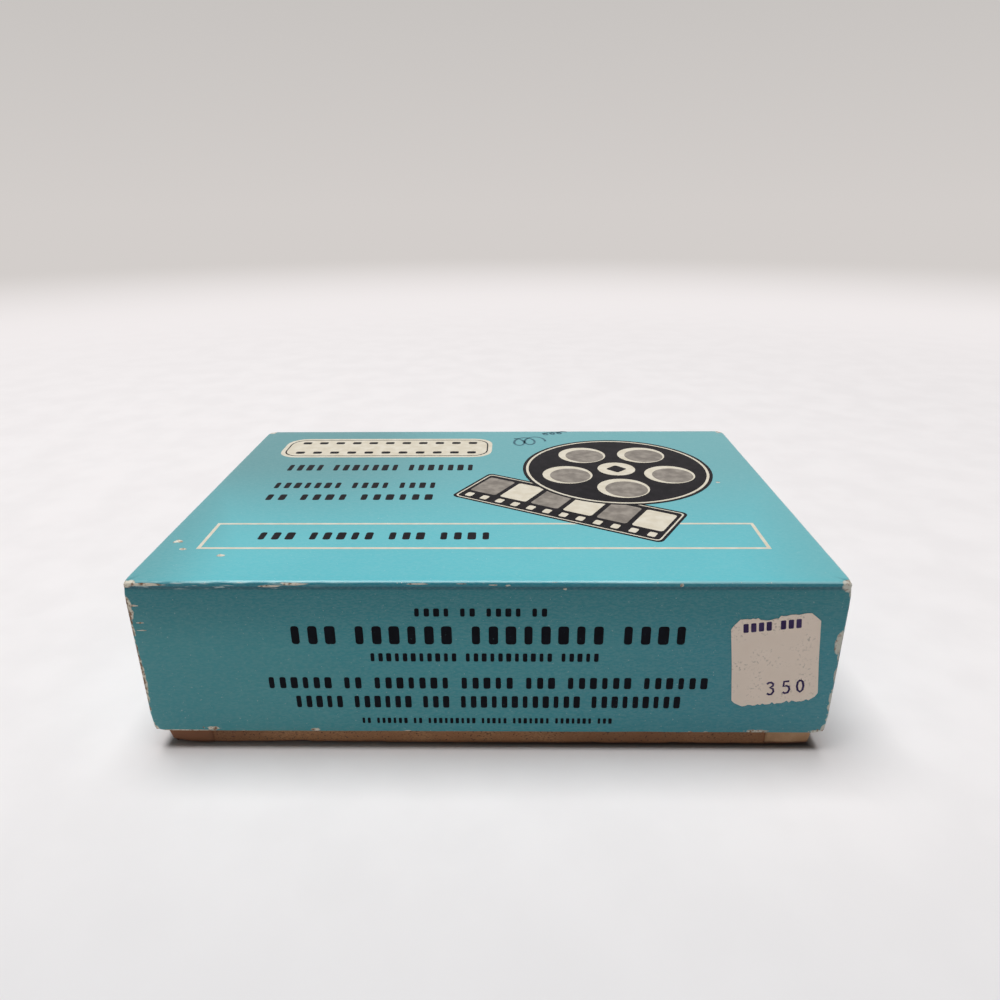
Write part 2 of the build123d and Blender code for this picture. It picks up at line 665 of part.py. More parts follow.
def left_clamp():
    seam = SEAM_X - SEAM_GAP / 2
    jog = seam - SEAM_JOG
    inner = LEFT_BED_X0
    outer = -CHEEK_X - CLAMP_OVERHANG
    outline = [
        (jog, HINGE_Y - CLAMP_BACK),
        (inner, HINGE_Y - CLAMP_BACK),
        (inner, HINGE_Y - CHEEK_EAR_R - EAR_CLEAR),
        (outer, HINGE_Y - CHEEK_EAR_R - EAR_CLEAR - CLAMP_OVERHANG),
        (outer, HINGE_Y - LEFT_REACH),
        (seam - LEFT_NOTCH_W, HINGE_Y - LEFT_REACH),
        (seam - LEFT_NOTCH_W, HINGE_Y - NOTCH_REACH),
        (seam, HINGE_Y - NOTCH_REACH),
        (seam, HINGE_Y - SEAM_JOG_REACH),
        (jog, HINGE_Y - SEAM_JOG_REACH),
    ]
    knob_x = SEAM_X - KNOB_FROM_SEAM
    panel = (inner + PANEL_MARGIN, jog - PANEL_MARGIN / 2)
    return clamp_plate(outline, LEFT_NOTCH_W + SEAM_GAP, knob_x, LEFT_CLAMP_KNUCKLES, LEFT_PINS_X, *panel)


def right_clamp():
    seam = SEAM_X + SEAM_GAP / 2
    jog = seam - SEAM_JOG
    outline = [
        (jog, HINGE_Y - CLAMP_BACK),
        (jog, HINGE_Y - SEAM_JOG_REACH + SEAM_GAP),
        (seam, HINGE_Y - SEAM_JOG_REACH + SEAM_GAP),
        (seam, HINGE_Y - NOTCH_REACH),
        (seam + RIGHT_NOTCH_W, HINGE_Y - NOTCH_REACH),
        (seam + RIGHT_NOTCH_W, HINGE_Y - RIGHT_REACH),
        (seam + RIGHT_FRONT_W, HINGE_Y - RIGHT_REACH),
        (seam + RIGHT_WIDE_W, HINGE_Y - RIGHT_WIDE_REACH),
        (seam + RIGHT_WIDE_W, HINGE_Y - RIGHT_WIDE_BACK),
        (seam + RIGHT_BACK_W, HINGE_Y - RIGHT_BACK_REACH),
        (seam + RIGHT_BACK_W, HINGE_Y - CLAMP_BACK),
    ]
    knob_x = SEAM_X + KNOB_FROM_SEAM
    panel = (seam + PANEL_MARGIN, seam + RIGHT_BACK_W - PANEL_MARGIN / 2)
    return clamp_plate(outline, RIGHT_NOTCH_W + SEAM_GAP, knob_x, RIGHT_CLAMP_KNUCKLES, RIGHT_PINS_X, *panel)


def finger_knob(x):
    """Turned knob: waisted stem and crowned head, riveted under the plate."""
    profile = Polyline(
        (0, -CLAMP_T - RIVET_T),
        (RIVET_R, -CLAMP_T - RIVET_T),
        (RIVET_R, -CLAMP_T),
        (KNOB_STEM_R, -CLAMP_T),
        (KNOB_STEM_R, 0),
        (KNOB_WAIST_R, 0),
        (KNOB_R, KNOB_HEAD_Z),
        (KNOB_R, KNOB_H - KNOB_CROWN),
        (KNOB_R - KNOB_CROWN, KNOB_H),
        (0, KNOB_H),
        close=True,
    )
    turned = revolve(Plane.XZ * make_face(profile), Axis.Z)
    return Pos(x, HINGE_Y - KNOB_REACH, KNOB_Z) * turned


def catch_spring():
    """Z-shaped strip: a tail on top of the right clamp, bent down past the notch and out again."""
    x0 = SEAM_X + CATCH_FROM_SEAM - CATCH_W / 2
    top = KNOB_Z + CATCH_T / 2
    drop_y = HINGE_Y - NOTCH_REACH - CATCH_GAP - CATCH_T / 2
    knee_z = top - CATCH_DROP
    spine = FilletPolyline(
        (drop_y + CATCH_TAIL, top),
        (drop_y, top),
        (drop_y, knee_z),
        (drop_y - CATCH_JOG, knee_z - CATCH_JOG),
        (drop_y - CATCH_JOG, knee_z - CATCH_JOG - CATCH_TIP),
        radius=CATCH_BEND_R,
    )
    strip = Plane.YZ.offset(x0) * trace(spine, CATCH_T)
    return extrude(strip, amount=CATCH_W)


# --- carton -----------------------------------------------------------------------------------

def centred(length, width, z0, z1):
    """A sharp-cornered block centred on the axis, used for folded board."""
    return block(-length / 2, length / 2, -width / 2, width / 2, z0, z1)


def open_shell(length, width, height, wall, radius):
    """A box open at the top, standing on z = 0."""
    shell = slab(length, width, radius, 0, height)
    return shell - centred(length - 2 * wall, width - 2 * wall, wall, height + PAST)


def tray_board():
    return open_shell(TRAY_L, TRAY_W, TRAY_H, BOARD, FOLD_R)


def tray_corner_stays():
    """Paper stays glued round the four corners, a little short of the tray's edges."""
    length = TRAY_L + 2 * STAY_T
    width = TRAY_W + 2 * STAY_T
    sleeve = slab(length, width, FOLD_R + STAY_T, STAY_MARGIN, TRAY_H - STAY_MARGIN)
    sleeve -= slab(TRAY_L, TRAY_W, FOLD_R, 0, TRAY_H)
    stays = []
    for sx in (-1, 1):
        for sy in (-1, 1):
            x = sx * TRAY_L / 2
            y = sy * TRAY_W / 2
            corner = block(x - STAY_W, x + STAY_W, y - STAY_W, y + STAY_W, 0, TRAY_H)
            stays.append(sleeve & corner)
    return stays


def insert_collar():
    """Chipboard collar: four walls and a top with a hole for the splicer."""
    length = TRAY_IN_L - 2 * COLLAR_GAP
    width = TRAY_IN_W - 2 * COLLAR_GAP
    top = BOARD + COLLAR_H
    collar = slab(length, width, COLLAR_FOLD_R, BOARD, top)
    collar -= centred(length - 2 * COLLAR_T, width - 2 * COLLAR_T, BOARD, top - COLLAR_T)
    hole_l = BASE_L + 2 * COLLAR_HOLE_GAP
    hole_w = BASE_W + 2 * COLLAR_HOLE_GAP
    return collar - slab(hole_l, hole_w, BASE_CORNER_R, 0, top + PAST)


def eased_cap(length, width, ease, z0, z1):
    """A block whose top edges and upright corners are all eased."""
    cap = centred(length, width, z0, z1)
    return chamfer(cap.edges().group_by(Axis.Z)[-1] + cap.edges().filter_by(Axis.Z), ease)


def lid_board():
    cap = eased_cap(LID_BOARD_L, LID_BOARD_W, LID_EASE + GLUE_EASE, REVEAL + WRAP, TRAY_H + BOARD)
    return cap - centred(LID_IN_L, LID_IN_W, 0, TRAY_H)


def lid_wrap():
    """Printed paper over the lid, turned in over the lower edge."""
    paper = eased_cap(LID_L, LID_W, LID_EASE, REVEAL, LID_TOP_Z)
    paper -= eased_cap(LID_BOARD_L, LID_BOARD_W, LID_EASE, REVEAL + WRAP, TRAY_H + BOARD)
    paper += centred(LID_IN_L, LID_IN_W, REVEAL, REVEAL + TURN_IN)
    return paper - centred(LID_IN_L - 2 * WRAP, LID_IN_W - 2 * WRAP, 0, REVEAL + TURN_IN + PAST)


def price_sticker():
    """Small paper label, clipped at its corners, stuck on a little askew."""
    face = make_face(Polyline(*label_outline(), close=True))
    x = LID_L / 2 - LABEL_FROM_RIGHT
    z = LID_TOP_Z - LABEL_FROM_TOP
    front = Plane(origin=(x, -LID_W / 2, z), x_dir=(1, 0, 0), z_dir=(0, -1, 0))
    return extrude(front * Rot(0, 0, LABEL_TURN) * face, amount=LABEL_T)


def label_outline():
    w = LABEL_W / 2
    h = LABEL_H / 2
    c = LABEL_CLIP
    return [
        (-w + c, -h), (w - c, -h), (w, -h + c), (w, h - c),
        (w - c, h), (-w + c, h), (-w, h - c), (-w, -h + c),
    ]


# --- write one file for each piece -------------------------------------------------------------

CARTON = {
    "tray_board": tray_board,
    "tray_corner_stays": tray_corner_stays,
    "insert_collar": insert_collar,
    "lid_board": lid_board,
    "lid_wrap": lid_wrap,
    "price_sticker": price_sticker,
}

SPLICER = {
    "base_moulding": base_moulding,
    "rubber_feet": rubber_feet,
    "film_track": film_track,
    "left_bed": left_bed,
    "left_pins": lambda: register_pins(LEFT_PINS_X),
    "fixed_blade": lambda: blade(LEFT_BED_X1),
    "bed_screws": bed_screws,
    "nameplate": nameplate,
    "dish": dish,
    "hinge_rod": hinge_rod,
    "rod_clips": rod_clips,
    "side_washer": side_washer,
    "side_spring": side_spring,
    "right_bed": right_bed,
    "right_pins": lambda: register_pins(RIGHT_PINS_X),
    "moving_blade": lambda: blade(RIGHT_BED_X0 - BLADE_T),
    "left_clamp": left_clamp,
    "left_knob": lambda: finger_knob(SEAM_X - KNOB_FROM_SEAM),
    "right_clamp": right_clamp,
    "right_knob": lambda: finger_knob(SEAM_X + KNOB_FROM_SEAM),
    "catch_spring": catch_spring,
}


def write(name, piece):
    solids = piece if isinstance(piece, list) else [piece]
    flat = [solid for item in solids for solid in item.solids()]
    shape = flat[0] if len(flat) == 1 else Compound(children=flat)
    export_step(shape, f"parts/{name}.step")


for name, make in CARTON.items():
    write(name, make())
for name, make in SPLICER.items():
    made = make()
    pieces = made if isinstance(made, list) else [made]
    write(name, [place(piece) for piece in pieces])

print("carton", round(LID_L, 2), "x", round(LID_W, 2), "x", round(LID_TOP_Z, 2), "mm")
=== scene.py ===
import bpy
import bmesh
import math
from mathutils import Matrix, Vector, noise


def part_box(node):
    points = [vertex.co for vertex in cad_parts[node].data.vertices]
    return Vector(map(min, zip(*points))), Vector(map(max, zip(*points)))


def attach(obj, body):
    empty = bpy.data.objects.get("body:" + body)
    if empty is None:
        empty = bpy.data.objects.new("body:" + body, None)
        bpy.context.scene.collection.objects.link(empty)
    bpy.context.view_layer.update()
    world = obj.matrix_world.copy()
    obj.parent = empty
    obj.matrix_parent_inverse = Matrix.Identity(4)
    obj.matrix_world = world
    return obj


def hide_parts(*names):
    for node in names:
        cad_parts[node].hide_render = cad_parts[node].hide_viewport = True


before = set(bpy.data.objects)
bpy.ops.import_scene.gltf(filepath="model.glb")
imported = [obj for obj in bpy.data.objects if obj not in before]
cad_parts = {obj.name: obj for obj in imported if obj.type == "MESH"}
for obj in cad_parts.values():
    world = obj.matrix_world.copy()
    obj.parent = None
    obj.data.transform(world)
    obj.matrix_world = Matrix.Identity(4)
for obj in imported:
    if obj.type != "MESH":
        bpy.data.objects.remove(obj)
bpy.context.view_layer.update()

# The table and the room.
# A pale sheet runs back from under the carton and meets a soft grey wall a metre and a half away.
# One broad lamp hangs a little behind the carton, so its front stands in gentle shade.
mm = 0.001


def tint(red, green, blue):
    """A colour as it is read off a screen, 0 to 255, made linear."""
    parts = [c / 255 for c in (red, green, blue)]
    return [p / 12.92 if p < 0.04045 else ((p + 0.055) / 1.055) ** 2.4 for p in parts] + [1.0]


class Finish:
    """One surface finish, and the nodes that make it up."""

    def __init__(self, name):
        self.material = bpy.data.materials.new(name)
        self.material.use_nodes = True
        self.tree = self.material.node_tree
        self.surface = self.tree.nodes["Principled BSDF"]
        self.place = self.put("ShaderNodeTexCoord").outputs["Object"]

    def put(self, kind, *values, **settings):
        made = self.tree.nodes.new(kind)
        for setting, value in settings.items():
            setattr(made, setting, value)
        for socket, value in zip(made.inputs, values):
            self.feed(socket, value)
        return made

    def feed(self, socket, value):
        if isinstance(value, bpy.types.NodeSocket):
            self.tree.links.new(value, socket)
        elif value is not None:
            socket.default_value = value

    def work(self, operation, *values, clamp=False):
        return self.put("ShaderNodeMath", *values, operation=operation, use_clamp=clamp).outputs[0]

    def grain(self, size, detail=3.0, stretch=None, seed=0.0):
        """Noise whose features are about size metres across."""
        where = self.place
        if stretch or seed:
            scaled = self.put("ShaderNodeMapping", where, (seed, seed, seed), None, stretch or (1, 1, 1))
            where = scaled.outputs[0]
        made = self.put("ShaderNodeTexNoise")
        self.feed(made.inputs["Vector"], where)
        self.feed(made.inputs["Scale"], 1 / size)
        self.feed(made.inputs["Detail"], detail)
        return made.outputs[0]

    def band(self, value, low, high):
        """0 below low, 1 above high."""
        made = self.put("ShaderNodeMapRange", value, low, high, 0.0, 1.0, interpolation_type="SMOOTHSTEP")
        return made.outputs[0]

    def blend(self, factor, first, second):
        made = self.tree.nodes.new("ShaderNodeMix")
        made.data_type = "RGBA"
        for index, value in ((0, factor), (6, first), (7, second)):
            self.feed(made.inputs[index], value)
        return made.outputs[2]

    def emboss(self, height, depth, strength=1.0):
        """Raise the surface by height, from 0 to 1, times depth metres."""
        made = self.tree.nodes.new("ShaderNodeBump")
        self.feed(made.inputs["Strength"], strength)
        self.feed(made.inputs["Distance"], depth)
        self.feed(made.inputs["Height"], height)
        self.feed(made.inputs["Normal"], self.surface.inputs["Normal"].links[0].from_socket
                  if self.surface.inputs["Normal"].links else None)
        self.feed(self.surface.inputs["Normal"], made.outputs[0])

    def set(self, **values):
        names = {"colour": "Base Color", "rough": "Roughness", "metal": "Metallic", "coat": "Coat Weight",
                 "coat_rough": "Coat Roughness", "sheen": "Sheen Weight", "specular": "Specular IOR Level"}
        for name, value in values.items():
            self.feed(self.surface.inputs[names[name]], value)
        return self.material


def piece(name, mesh_builder, material, smooth=True):
    """A new object from a bmesh, with outward faces and one finish."""
    bmesh.ops.recalc_face_normals(mesh_builder, faces=mesh_builder.faces)
    mesh = bpy.data.meshes.new(name)
    mesh_builder.to_mesh(mesh)
    mesh_builder.free()
    mesh.materials.append(material)
    for polygon in mesh.polygons:
        polygon.use_smooth = smooth
    made = bpy.data.objects.new(name, mesh)
    bpy.context.scene.collection.objects.link(made)
    return made


def sheet_of(name, corners, material):
    flat = bmesh.new()
    flat.faces.new([flat.verts.new(corner) for corner in corners])
    return piece(name, flat, material, smooth=False)


def lit_for_eyes(tree):
    """1 for what the camera sees, straight or in a shine, and 0 for light on its way between surfaces."""
    path = tree.nodes.new("ShaderNodeLightPath")
    eyes = path.outputs["Is Camera Ray"]
    for ray in ("Is Glossy Ray", "Is Transmission Ray"):
        either = tree.nodes.new("ShaderNodeMath")
        either.operation = "MAXIMUM"
        tree.links.new(eyes, either.inputs[0])
        tree.links.new(path.outputs[ray], either.inputs[1])
        eyes = either.outputs[0]
    return eyes


wall_low = tint(211, 206, 203)
wall_high = tint(199, 195, 192)
table_end = 1.5
table_finish = Finish("pale_table")
table_out = table_finish.put("ShaderNodeVectorMath", table_finish.place, operation="LENGTH").outputs["Value"]
table_far = table_finish.band(table_out, 0.24, 0.75)
table_wall = table_finish.band(table_out, 0.55, table_end - 0.2)
table_speck = table_finish.band(table_finish.grain(0.02), 0.3, 0.7)
table_pale = table_finish.blend(table_speck, tint(239, 235, 235), tint(243, 239, 239))
# Painted shade: the table is darker in front of the carton, standing for the soft shadow spreading out in front of it.
table_front_shade = table_finish.band(table_finish.put("ShaderNodeSeparateXYZ", table_finish.place).outputs[1], -0.03, -0.16)
table_pale = table_finish.blend(table_front_shade, table_pale, tint(223, 222, 223))
# Painted shadow: a brownish contact shadow painted on the table along the foot of the tray, darkest under its outline
# and stronger towards the right.
tray_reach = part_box("tray_board")[1]
table_spot = table_finish.put("ShaderNodeSeparateXYZ", table_finish.place)
table_gap = table_finish.work("MAXIMUM", *[
    table_finish.work("SUBTRACT", table_finish.work("ABSOLUTE", table_spot.outputs[axis]), tray_reach[axis])
    for axis in (0, 1)
])
table_painted_contact_shadow = table_finish.work("MULTIPLY", table_finish.band(table_gap, 1.2 * mm, -0.5 * mm), table_finish.work(
    "MULTIPLY_ADD", table_finish.band(table_spot.outputs[0], -50 * mm, 20 * mm), 0.5, 0.35))
table_pale = table_finish.blend(table_painted_contact_shadow, table_pale, tint(92, 74, 64))
table_seen = table_finish.blend(lit_for_eyes(table_finish.tree), tint(224, 221, 219), table_pale)
table_finish.set(colour=table_finish.blend(table_far, table_seen, (0, 0, 0, 1)), rough=0.7, specular=0.0)
table_finish.feed(table_finish.surface.inputs["Emission Color"],
                  table_finish.blend(table_wall, tint(243, 238, 238), wall_low))
table_finish.feed(table_finish.surface.inputs["Emission Strength"], table_far)
table_rim = [(table_end * math.cos(math.radians(6 * i)), table_end * math.sin(math.radians(6 * i)), 0) for i in range(60)]
sheet_of("table", table_rim, table_finish.material)

room = bpy.data.worlds.new("room")
bpy.context.scene.world = room
room.use_nodes = True
room_nodes = room.node_tree.nodes
room_link = room.node_tree.links.new
room_glow = room_nodes["Background"]
room_glow.inputs["Color"].default_value = tint(238, 240, 242)
room_glow.inputs["Strength"].default_value = 0.12
room_wall = room_nodes.new("ShaderNodeBackground")
room_way = room_nodes.new("ShaderNodeSeparateXYZ")
room_link(room_nodes.new("ShaderNodeTexCoord").outputs["Generated"], room_way.inputs[0])
room_up = room_nodes.new("ShaderNodeMapRange")
room_up.inputs["From Min"].default_value = -0.02
room_up.inputs["From Max"].default_value = 0.2
room_link(room_way.outputs[2], room_up.inputs[0])
room_shade = room_nodes.new("ShaderNodeMix")
room_shade.data_type = "RGBA"
room_shade.inputs[6].default_value = wall_low
room_shade.inputs[7].default_value = wall_high
room_link(room_up.outputs[0], room_shade.inputs[0])
room_link(room_shade.outputs[2], room_wall.inputs["Color"])
room_mix = room_nodes.new("ShaderNodeMixShader")
room_link(lit_for_eyes(room.node_tree), room_mix.inputs[0])
room_link(room_glow.outputs[0], room_mix.inputs[1])
room_link(room_wall.outputs[0], room_mix.inputs[2])
room_link(room_mix.outputs[0], room_nodes["World Output"].inputs[0])

lamp_light = bpy.data.lights.new("overhead", "AREA")
lamp_light.shape = "RECTANGLE"
lamp_light.size = 1.3
lamp_light.size_y = 1.2
lamp_light.energy = 41
lamp = bpy.data.objects.new("overhead", lamp_light)
lamp.location = (-0.2, 0.06, 2.0)
lamp.rotation_euler = (0, math.radians(-6), 0)
bpy.context.scene.collection.objects.link(lamp)

# The camera stands low and close in front, where the photographer held theirs.
camera_pitch = math.radians(22.316)
camera_yaw = math.radians(0.909)
camera_roll = math.radians(0.399)
turn = (
    Matrix.Rotation(camera_yaw, 3, "Z")
    @ Matrix.Rotation(-camera_pitch, 3, "X")
    @ Matrix.Rotation(camera_roll, 3, "Y")
)
camera = bpy.data.objects.new("camera", bpy.data.cameras.new("camera"))
camera.data.lens = 27.23
camera.data.sensor_width = 36
camera.data.clip_start = 0.01
camera.matrix_world = Matrix.Translation((5.2 * mm, -183.61 * mm, 114.1 * mm)) @ Matrix(
    (turn.col[0], turn.col[2], -turn.col[1])
).transposed().to_4x4()
bpy.context.scene.collection.objects.link(camera)
bpy.context.scene.camera = camera
bpy.context.scene.view_settings.view_transform = "Standard"

# The tray: brown chipboard, scored, folded up and held at its corners.
# Its lower edge is crushed and bruised from years of standing on shelves, so it runs a little wavy.
tray_low, tray_high = (Vector(v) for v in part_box("tray_board"))
tray_wall = 1.1 * mm


def ring_of(half_x, half_y, radius, parts_x, parts_y, corner_parts=6):
    """Points round a rounded rectangle, each with its outward direction."""
    turns = []
    for sx, sy, start in ((1, 1, 0), (-1, 1, 90), (-1, -1, 180), (1, -1, 270)):
        centre = Vector((sx * (half_x - radius), sy * (half_y - radius), 0))
        for i in range(corner_parts + 1):
            angle = math.radians(start + 90 * i / corner_parts)
            out = Vector((math.cos(angle), math.sin(angle), 0))
            turns.append((centre + out * radius, out))
    ring = []
    for i, (point, out) in enumerate(turns):
        ring.append((point, out))
        if i % (corner_parts + 1) == corner_parts:
            following = turns[(i + 1) % len(turns)][0]
            parts = parts_x if abs(out.y) > 0.5 else parts_y
            ring += [(point.lerp(following, k / parts), out) for k in range(1, parts)]
    return ring


def folded(name, half_x, half_y, radius, rows, material, shift=None, step=1.2 * mm):
    """A closed shell of folded sheet: one ring for each row of (offset outwards, height), both ends filled."""
    shell = bmesh.new()
    loops = []
    for offset, height in rows:
        ring = ring_of(half_x + offset, half_y + offset, max(radius + offset, 0.05 * mm),
                       round(2 * half_x / step), round(2 * half_y / step))
        spots = [(point + Vector((0, 0, height)), out) for point, out in ring]
        loops.append([shell.verts.new(shift(at, out) if shift else at) for at, out in spots])
    for upper, lower in zip(loops, loops[1:]):
        for i in range(len(upper)):
            j = (i + 1) % len(upper)
            shell.faces.new((upper[i], upper[j], lower[j], lower[i]))
    shell.faces.new(loops[0])
    shell.faces.new(list(reversed(loops[-1])))
    return piece(name, shell, material)


def crushed_tray(at, out):
    """The lower edge's bruises, none of them where it rests on the table."""
    low = max(0.0, 1 - at.z / (4 * mm))
    flat = Vector((at.x, at.y, 0))
    wave = noise.noise(flat * 75 + Vector((0, 0, 3))) * 0.7 + noise.noise(flat * 260) * 0.5
    dent = noise.noise(flat * 230 + Vector((7, 3, 1)))
    corner = max(0.0, 1 - math.hypot(abs(at.x) - tray_high.x, abs(at.y) - tray_high.y) / (9 * mm)) ** 2
    crush = corner * (1.0 if at.x < 0 and at.y < 0 else 0.5)
    lift = low * (max(0.0, wave) * 0.6 + crush * 0.5) * min(1.0, at.z / (0.3 * mm)) * mm
    return at + Vector((0, 0, lift)) - out * (low * (max(0.0, dent) * 0.5 + crush * 0.9) * mm)


board_finish = Finish("brown_chipboard")
board_fibre = board_finish.grain(0.6 * mm, 5, (1, 1, 6))
board_cloud = board_finish.grain(9 * mm, 3, None, 4.0)
board_colour = board_finish.blend(board_finish.band(board_fibre, 0.35, 0.65), tint(158, 108, 74), tint(212, 160, 116))
board_colour = board_finish.blend(board_finish.band(board_cloud, 0.3, 0.72), tint(172, 120, 83), board_colour)
board_at = board_finish.put("ShaderNodeSeparateXYZ", board_finish.place)
# The board is darker along its foot, over its left end and, more lightly, over its right part.
board_darkening = board_finish.work("MAXIMUM", board_finish.band(board_at.outputs[2], 1.6 * mm, 0.4 * mm), board_finish.work(
    "MULTIPLY", board_finish.band(board_at.outputs[0], -38 * mm, -60 * mm), 0.75))
board_darkening = board_finish.work("MAXIMUM", board_darkening, board_finish.work(
    "MULTIPLY", board_finish.band(board_at.outputs[0], 2 * mm, 26 * mm), 0.5))
board_colour = board_finish.blend(board_finish.work("MULTIPLY", board_darkening, 0.8), board_colour, tint(120, 76, 52))
board_speck = board_finish.band(board_finish.grain(0.45 * mm, 2, None, 9.0), 0.6, 0.68)
board_finish.emboss(board_fibre, 0.12 * mm, 0.7)
board_finish.set(colour=board_finish.blend(board_speck, board_colour, tint(104, 76, 58)), rough=0.86)

tray_top = tray_high.z
tray_rows = [
    (-tray_wall, tray_wall), (-tray_wall, tray_top / 2), (-tray_wall, tray_top - 0.2 * mm),
    (-0.8 * tray_wall, tray_top), (-0.2 * tray_wall, tray_top), (0, tray_top - 0.2 * mm),
    (0, tray_top / 2), (0, 8 * mm), (0, 5.5 * mm), (0, 4 * mm), (0, 2.6 * mm), (0, 1.4 * mm),
    (-0.04 * mm, 0.85 * mm), (-0.14 * mm, 0.52 * mm), (-0.34 * mm, 0.3 * mm), (-0.68 * mm, 0.13 * mm),
    (-1.2 * mm, 0.04 * mm), (-1.9 * mm, 0),
]
tray = folded("folded_tray", tray_high.x, tray_high.y, 0.8 * mm, tray_rows, board_finish.material, crushed_tray)
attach(tray, "carton_tray")
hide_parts("tray_board")


def give(node, material):
    """A carried-over piece keeps its shape and gets this finish."""
    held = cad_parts[node]
    if not held.material_slots:
        held.data.materials.append(material)
    for place in held.material_slots:
        place.material = material


# The corner stays: strips of lighter kraft paper glued round the tray's four corners.
stay_finish = Finish("kraft_paper")
stay_fibre = stay_finish.grain(0.4 * mm, 4, (1, 1, 4))
stay_cloud = stay_finish.grain(6 * mm)
stay_colour = stay_finish.blend(stay_finish.band(stay_fibre, 0.3, 0.7), tint(204, 158, 118), tint(222, 180, 140))
stay_side = stay_finish.put("ShaderNodeSeparateXYZ", stay_finish.place).outputs[0]
# The stays are darker towards the left of the tray and along the foot.
stay_left_darkening = stay_finish.band(stay_side, -20 * mm, 20 * mm)
stay_low = stay_finish.band(stay_finish.put("ShaderNodeSeparateXYZ", stay_finish.place).outputs[2], 1.5 * mm, 0.8 * mm)
stay_finish.emboss(stay_fibre, 0.06 * mm, 0.6)
stay_colour = stay_finish.blend(stay_finish.band(stay_cloud, 0.4, 0.7), stay_colour, tint(190, 146, 108))
stay_colour = stay_finish.blend(stay_left_darkening, tint(142, 94, 66), stay_colour)
stay_finish.set(colour=stay_finish.blend(stay_low, stay_colour, tint(120, 78, 54)), rough=0.8)
stay_low_end, stay_high_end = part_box("tray_corner_stays")
stay_gauge = stay_high_end[0] - tray_high.x
stay_reach = 10 * mm
fold = 0.8 * mm
stay_levels = [stay_low_end[2] + step * mm for step in (0, 0.4, 0.9, 1.5, 2.2, 3.2, 4.6, 7.0)] + [stay_high_end[2]]
stays = bmesh.new()
for side_x in (-1, 1):
    for side_y in (-1, 1):
        def corner_point(x, y, out_x, out_y):
            return Vector((side_x * x, side_y * y, 0)), Vector((side_x * out_x, side_y * out_y, 0))

        path = [corner_point(tray_high.x, tray_high.y - stay_reach + (stay_reach - fold) * k / 6, 1, 0) for k in range(6)]
        for k in range(7):
            bend = math.radians(15 * k)
            path.append(corner_point(tray_high.x - fold + fold * math.cos(bend), tray_high.y - fold + fold * math.sin(bend),
                                     math.cos(bend), math.sin(bend)))
        path += [corner_point(tray_high.x - fold - (stay_reach - fold) * k / 6, tray_high.y, 0, 1) for k in range(1, 7)]
        skins = [[[stays.verts.new(crushed_tray(spot + out * lift + Vector((0, 0, level)), out)) for spot, out in path]
                  for level in stay_levels] for lift in (-0.01 * mm, stay_gauge)]
        for skin in skins:
            for a, b in zip(skin, skin[1:]):
                for k in range(len(path) - 1):
                    stays.faces.new((a[k], a[k + 1], b[k + 1], b[k]))
        for edge_in, edge_out in ((skins[0][0], skins[1][0]), (skins[0][-1], skins[1][-1]),
                                  ([row[0] for row in skins[0]], [row[0] for row in skins[1]]),
                                  ([row[-1] for row in skins[0]], [row[-1] for row in skins[1]])):
            for k in range(len(edge_in) - 1):
                stays.faces.new((edge_in[k], edge_in[k + 1], edge_out[k + 1], edge_out[k]))
stay_piece = piece("corner_stays", stays, stay_finish.material)
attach(stay_piece, "carton_tray")
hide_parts("tray_corner_stays")

# The collar: grey chipboard that keeps the splicer in the middle of the tray.
collar_finish = Finish("grey_chipboard")
collar_fibre = collar_finish.grain(0.5 * mm, 5, (1, 5, 1))
collar_finish.emboss(collar_fibre, 0.08 * mm, 0.6)
collar_finish.set(
    colour=collar_finish.blend(collar_finish.band(collar_fibre, 0.3, 0.7), tint(170, 160, 143), tint(190, 181, 165)),
    rough=0.88,
)
give("insert_collar", collar_finish.material)

# The base: one black moulding with a hard gloss, hollow below, its edges a little rounded from the tool.
# Handling has left fine rub marks on its decks.


def eased(node, width, material, body, angle=28):
    """The carried-over piece with its sharp edges rounded, standing for it."""
    made = bmesh.new()
    made.from_mesh(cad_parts[node].data)
    bmesh.ops.remove_doubles(made, verts=made.verts, dist=1e-6)
    bmesh.ops.dissolve_limit(made, angle_limit=math.radians(1), verts=made.verts, edges=made.edges)
    work = piece(node + "_eased", made, material)
    edge = work.modifiers.new("edge", "BEVEL")
    edge.width = width
    edge.segments = 2
    edge.limit_method = "ANGLE"
    edge.angle_limit = math.radians(angle)
    edge.use_clamp_overlap = False
    edge.harden_normals = True
    level = work.modifiers.new("level", "WEIGHTED_NORMAL")
    level.weight = 100
    level.keep_sharp = True
    bpy.context.view_layer.update()
    settled = bpy.data.meshes.new_from_object(work.evaluated_get(bpy.context.evaluated_depsgraph_get()))
    work.modifiers.clear()
    work.data = settled
    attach(work, body)
    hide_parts(node)
    return work


moulding_finish = Finish("black_moulding")
moulding_rub = moulding_finish.grain(14 * mm, 4)
moulding_dust = moulding_finish.band(moulding_finish.grain(0.5 * mm, 2), 0.64, 0.72)
moulding_colour = moulding_finish.blend(moulding_rub, tint(24, 23, 25), tint(40, 39, 41))
moulding_rough = moulding_finish.band(moulding_rub, 0.25, 0.8)
moulding_finish.emboss(moulding_finish.grain(0.9 * mm, 2), 0.02 * mm, 0.3)
moulding_finish.set(
    colour=moulding_finish.blend(moulding_dust, moulding_colour, tint(92, 90, 88)),
    rough=moulding_finish.work("MULTIPLY_ADD", moulding_rough, 0.14, 0.2), coat=0.35, coat_rough=0.08,
)
base = eased("base_moulding", 0.22 * mm, moulding_finish.material, "splicer_base")

# The feet: soft grey rubber pads let into the base.
foot_finish = Finish("foot_rubber")
foot_grain = foot_finish.grain(0.8 * mm, 3)
foot_finish.emboss(foot_grain, 0.05 * mm)
foot_finish.set(colour=foot_finish.blend(foot_grain, tint(48, 46, 45), tint(70, 67, 64)), rough=0.8)
give("rubber_feet", foot_finish.material)


